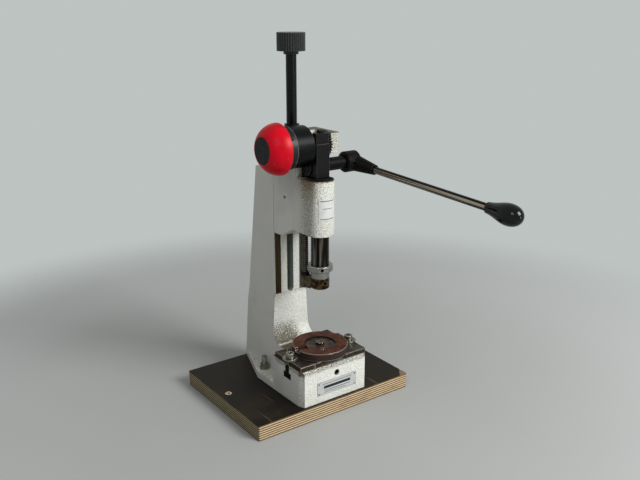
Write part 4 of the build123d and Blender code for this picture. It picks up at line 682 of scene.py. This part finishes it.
# ------------------------------------------------------------ yoke, gears, collars and spindle
# Machined steel, blued black and oiled, with grey on the edges from handling. So are the plug
# and the small black nuts and screws. The spindle is polished. Two screws lie deep in holes, and
# their faces are near black, a painted shade of the holes.
steel("black_oxide", shade(11, 11, 11), shade(6, 6, 6), 0.34,
      ["thrust_collar_lower", "thrust_collar_upper", "front_plug", "slot_nuts", "bearing_yoke",
       "drive_pinion", "shaft_gear", "drum_gear", "shaft_retaining_ring", "hub_set_screw",
       "stop_rod_nut", "ring_screws"],
      wear=shade(66, 64, 60), metal=0.0, edge_share=0.35, shine=0.16)
steel("polished_black", shade(6, 6, 6), shade(3, 3, 3), 0.25, ["elevating_spindle"],
      wear=shade(70, 70, 68), metal=0.0, edge_share=0.4, relief=0.00001, shine=0.20)
# Painted shade: the two screws deep in holes are near black, as the shade in their holes.
steel("recess_shade_black", shade(5, 5, 5), shade(3, 3, 3), 0.70, ["collar_screw", "tool_screw"],
      wear=shade(36, 34, 30), metal=0.0, edge_share=0.2, shine=0.05)


# ------------------------------------------------------------ set screw in the head's flank
# A small steel screw in the slide's left side, painted over with the casting.
# Its paint is thin and grey, and a little worn.
steel("painted_screw", shade(150, 150, 144), shade(104, 102, 94), 0.45, ["flank_set_screw"],
      wear=shade(180, 180, 174), metal=0.0)


# ------------------------------------------------------------ bushes
# Sintered bronze rings, pressed into the housing, the yoke and the drum's arms.
# The ram and both shafts turn or slide in them.
steel("bronze", shade(176, 134, 78), shade(116, 84, 48), 0.34,
      ["ram_bush_lower", "ram_bush_upper", "shaft_bush_left", "shaft_bush_right", "drum_bush_left",
       "drum_bush_right"], wear=shade(216, 182, 126))


# ------------------------------------------------------------ spring drum, dome and knobs
# Moulded pieces: a satin black drum and ring, a red tension dome that is turned by hand
# with a matt black cap in its end, the spindle's fluted knob and the lever's glossy one.
def moulded(name, node, colour, shadow, rough, wear, relief=0.00003, edge=0.0006, edge_share=0.4,
            shine=0.3):
    """Moulded plastic: a faint mottle, dulled patches from handling and paler edges.

    wear is the colour of scuffs and edges, and on some pieces stands for a painted highlight; edge is an
    edge's width and edge_share how far it is worn.
    """
    skin = new_finish(name)
    handled = skin.rise(skin.cloud(75.0, 3.0), 0.40, 0.70)
    fine = skin.cloud(1400.0, 2.0)
    tint = skin.mix(handled, colour, shadow)
    tint = skin.mix(skin.edges(edge) * edge_share, tint, wear)
    scuffs = skin.rise(skin.cloud(260.0, 4.0, (1.0, 0.25, 1.0), 5.0), 0.66, 0.74)
    tint = skin.mix(scuffs * 0.25, tint, wear)
    skin.cover({"Base Color": tint, "Specular IOR Level": shine,
                "Roughness": rough + handled * 0.08 + scuffs * 0.15 + fine * 0.05,
                "Normal": skin.bump(fine, relief, edge)}, node)


moulded("black_plastic", "spring_drum", shade(6, 8, 9), shade(4, 5, 6), 0.28, shade(84, 88, 92),
        edge_share=0.3, shine=0.14)
# Painted highlight: the ring's edges are painted pale all round, as highlight lines, with some scuffs.
moulded("worn_black_plastic_edge_highlight", "drum_ring", shade(14, 16, 17), shade(8, 9, 10), 0.30,
        shade(150, 156, 160), edge=0.0008, edge_share=1.0, shine=0.35)
# The knob's flute and top edges are painted pale, partly wear and partly a painted highlight.
moulded("knurled_knob_plastic", "spindle_knob", shade(9, 10, 10), shade(6, 7, 7), 0.30,
        shade(96, 100, 100), edge=0.0013, edge_share=0.45, shine=0.35)
moulded("black_cap_plastic", "dome_cap", shade(18, 19, 19), shade(12, 13, 13), 0.62,
        shade(80, 80, 80), relief=0.00006)
moulded("red_plastic", "tension_dome", shade(198, 5, 34), shade(172, 2, 26), 0.32,
        shade(236, 84, 100), relief=0.00002, edge_share=0.7, shine=0.16)
moulded("gloss_black", "lever_knob", shade(4, 4, 5), shade(6, 6, 7), 0.07, shade(40, 40, 42),
        relief=0.000008, edge_share=0.2)


bpy.context.scene.view_settings.view_transform = "Standard"
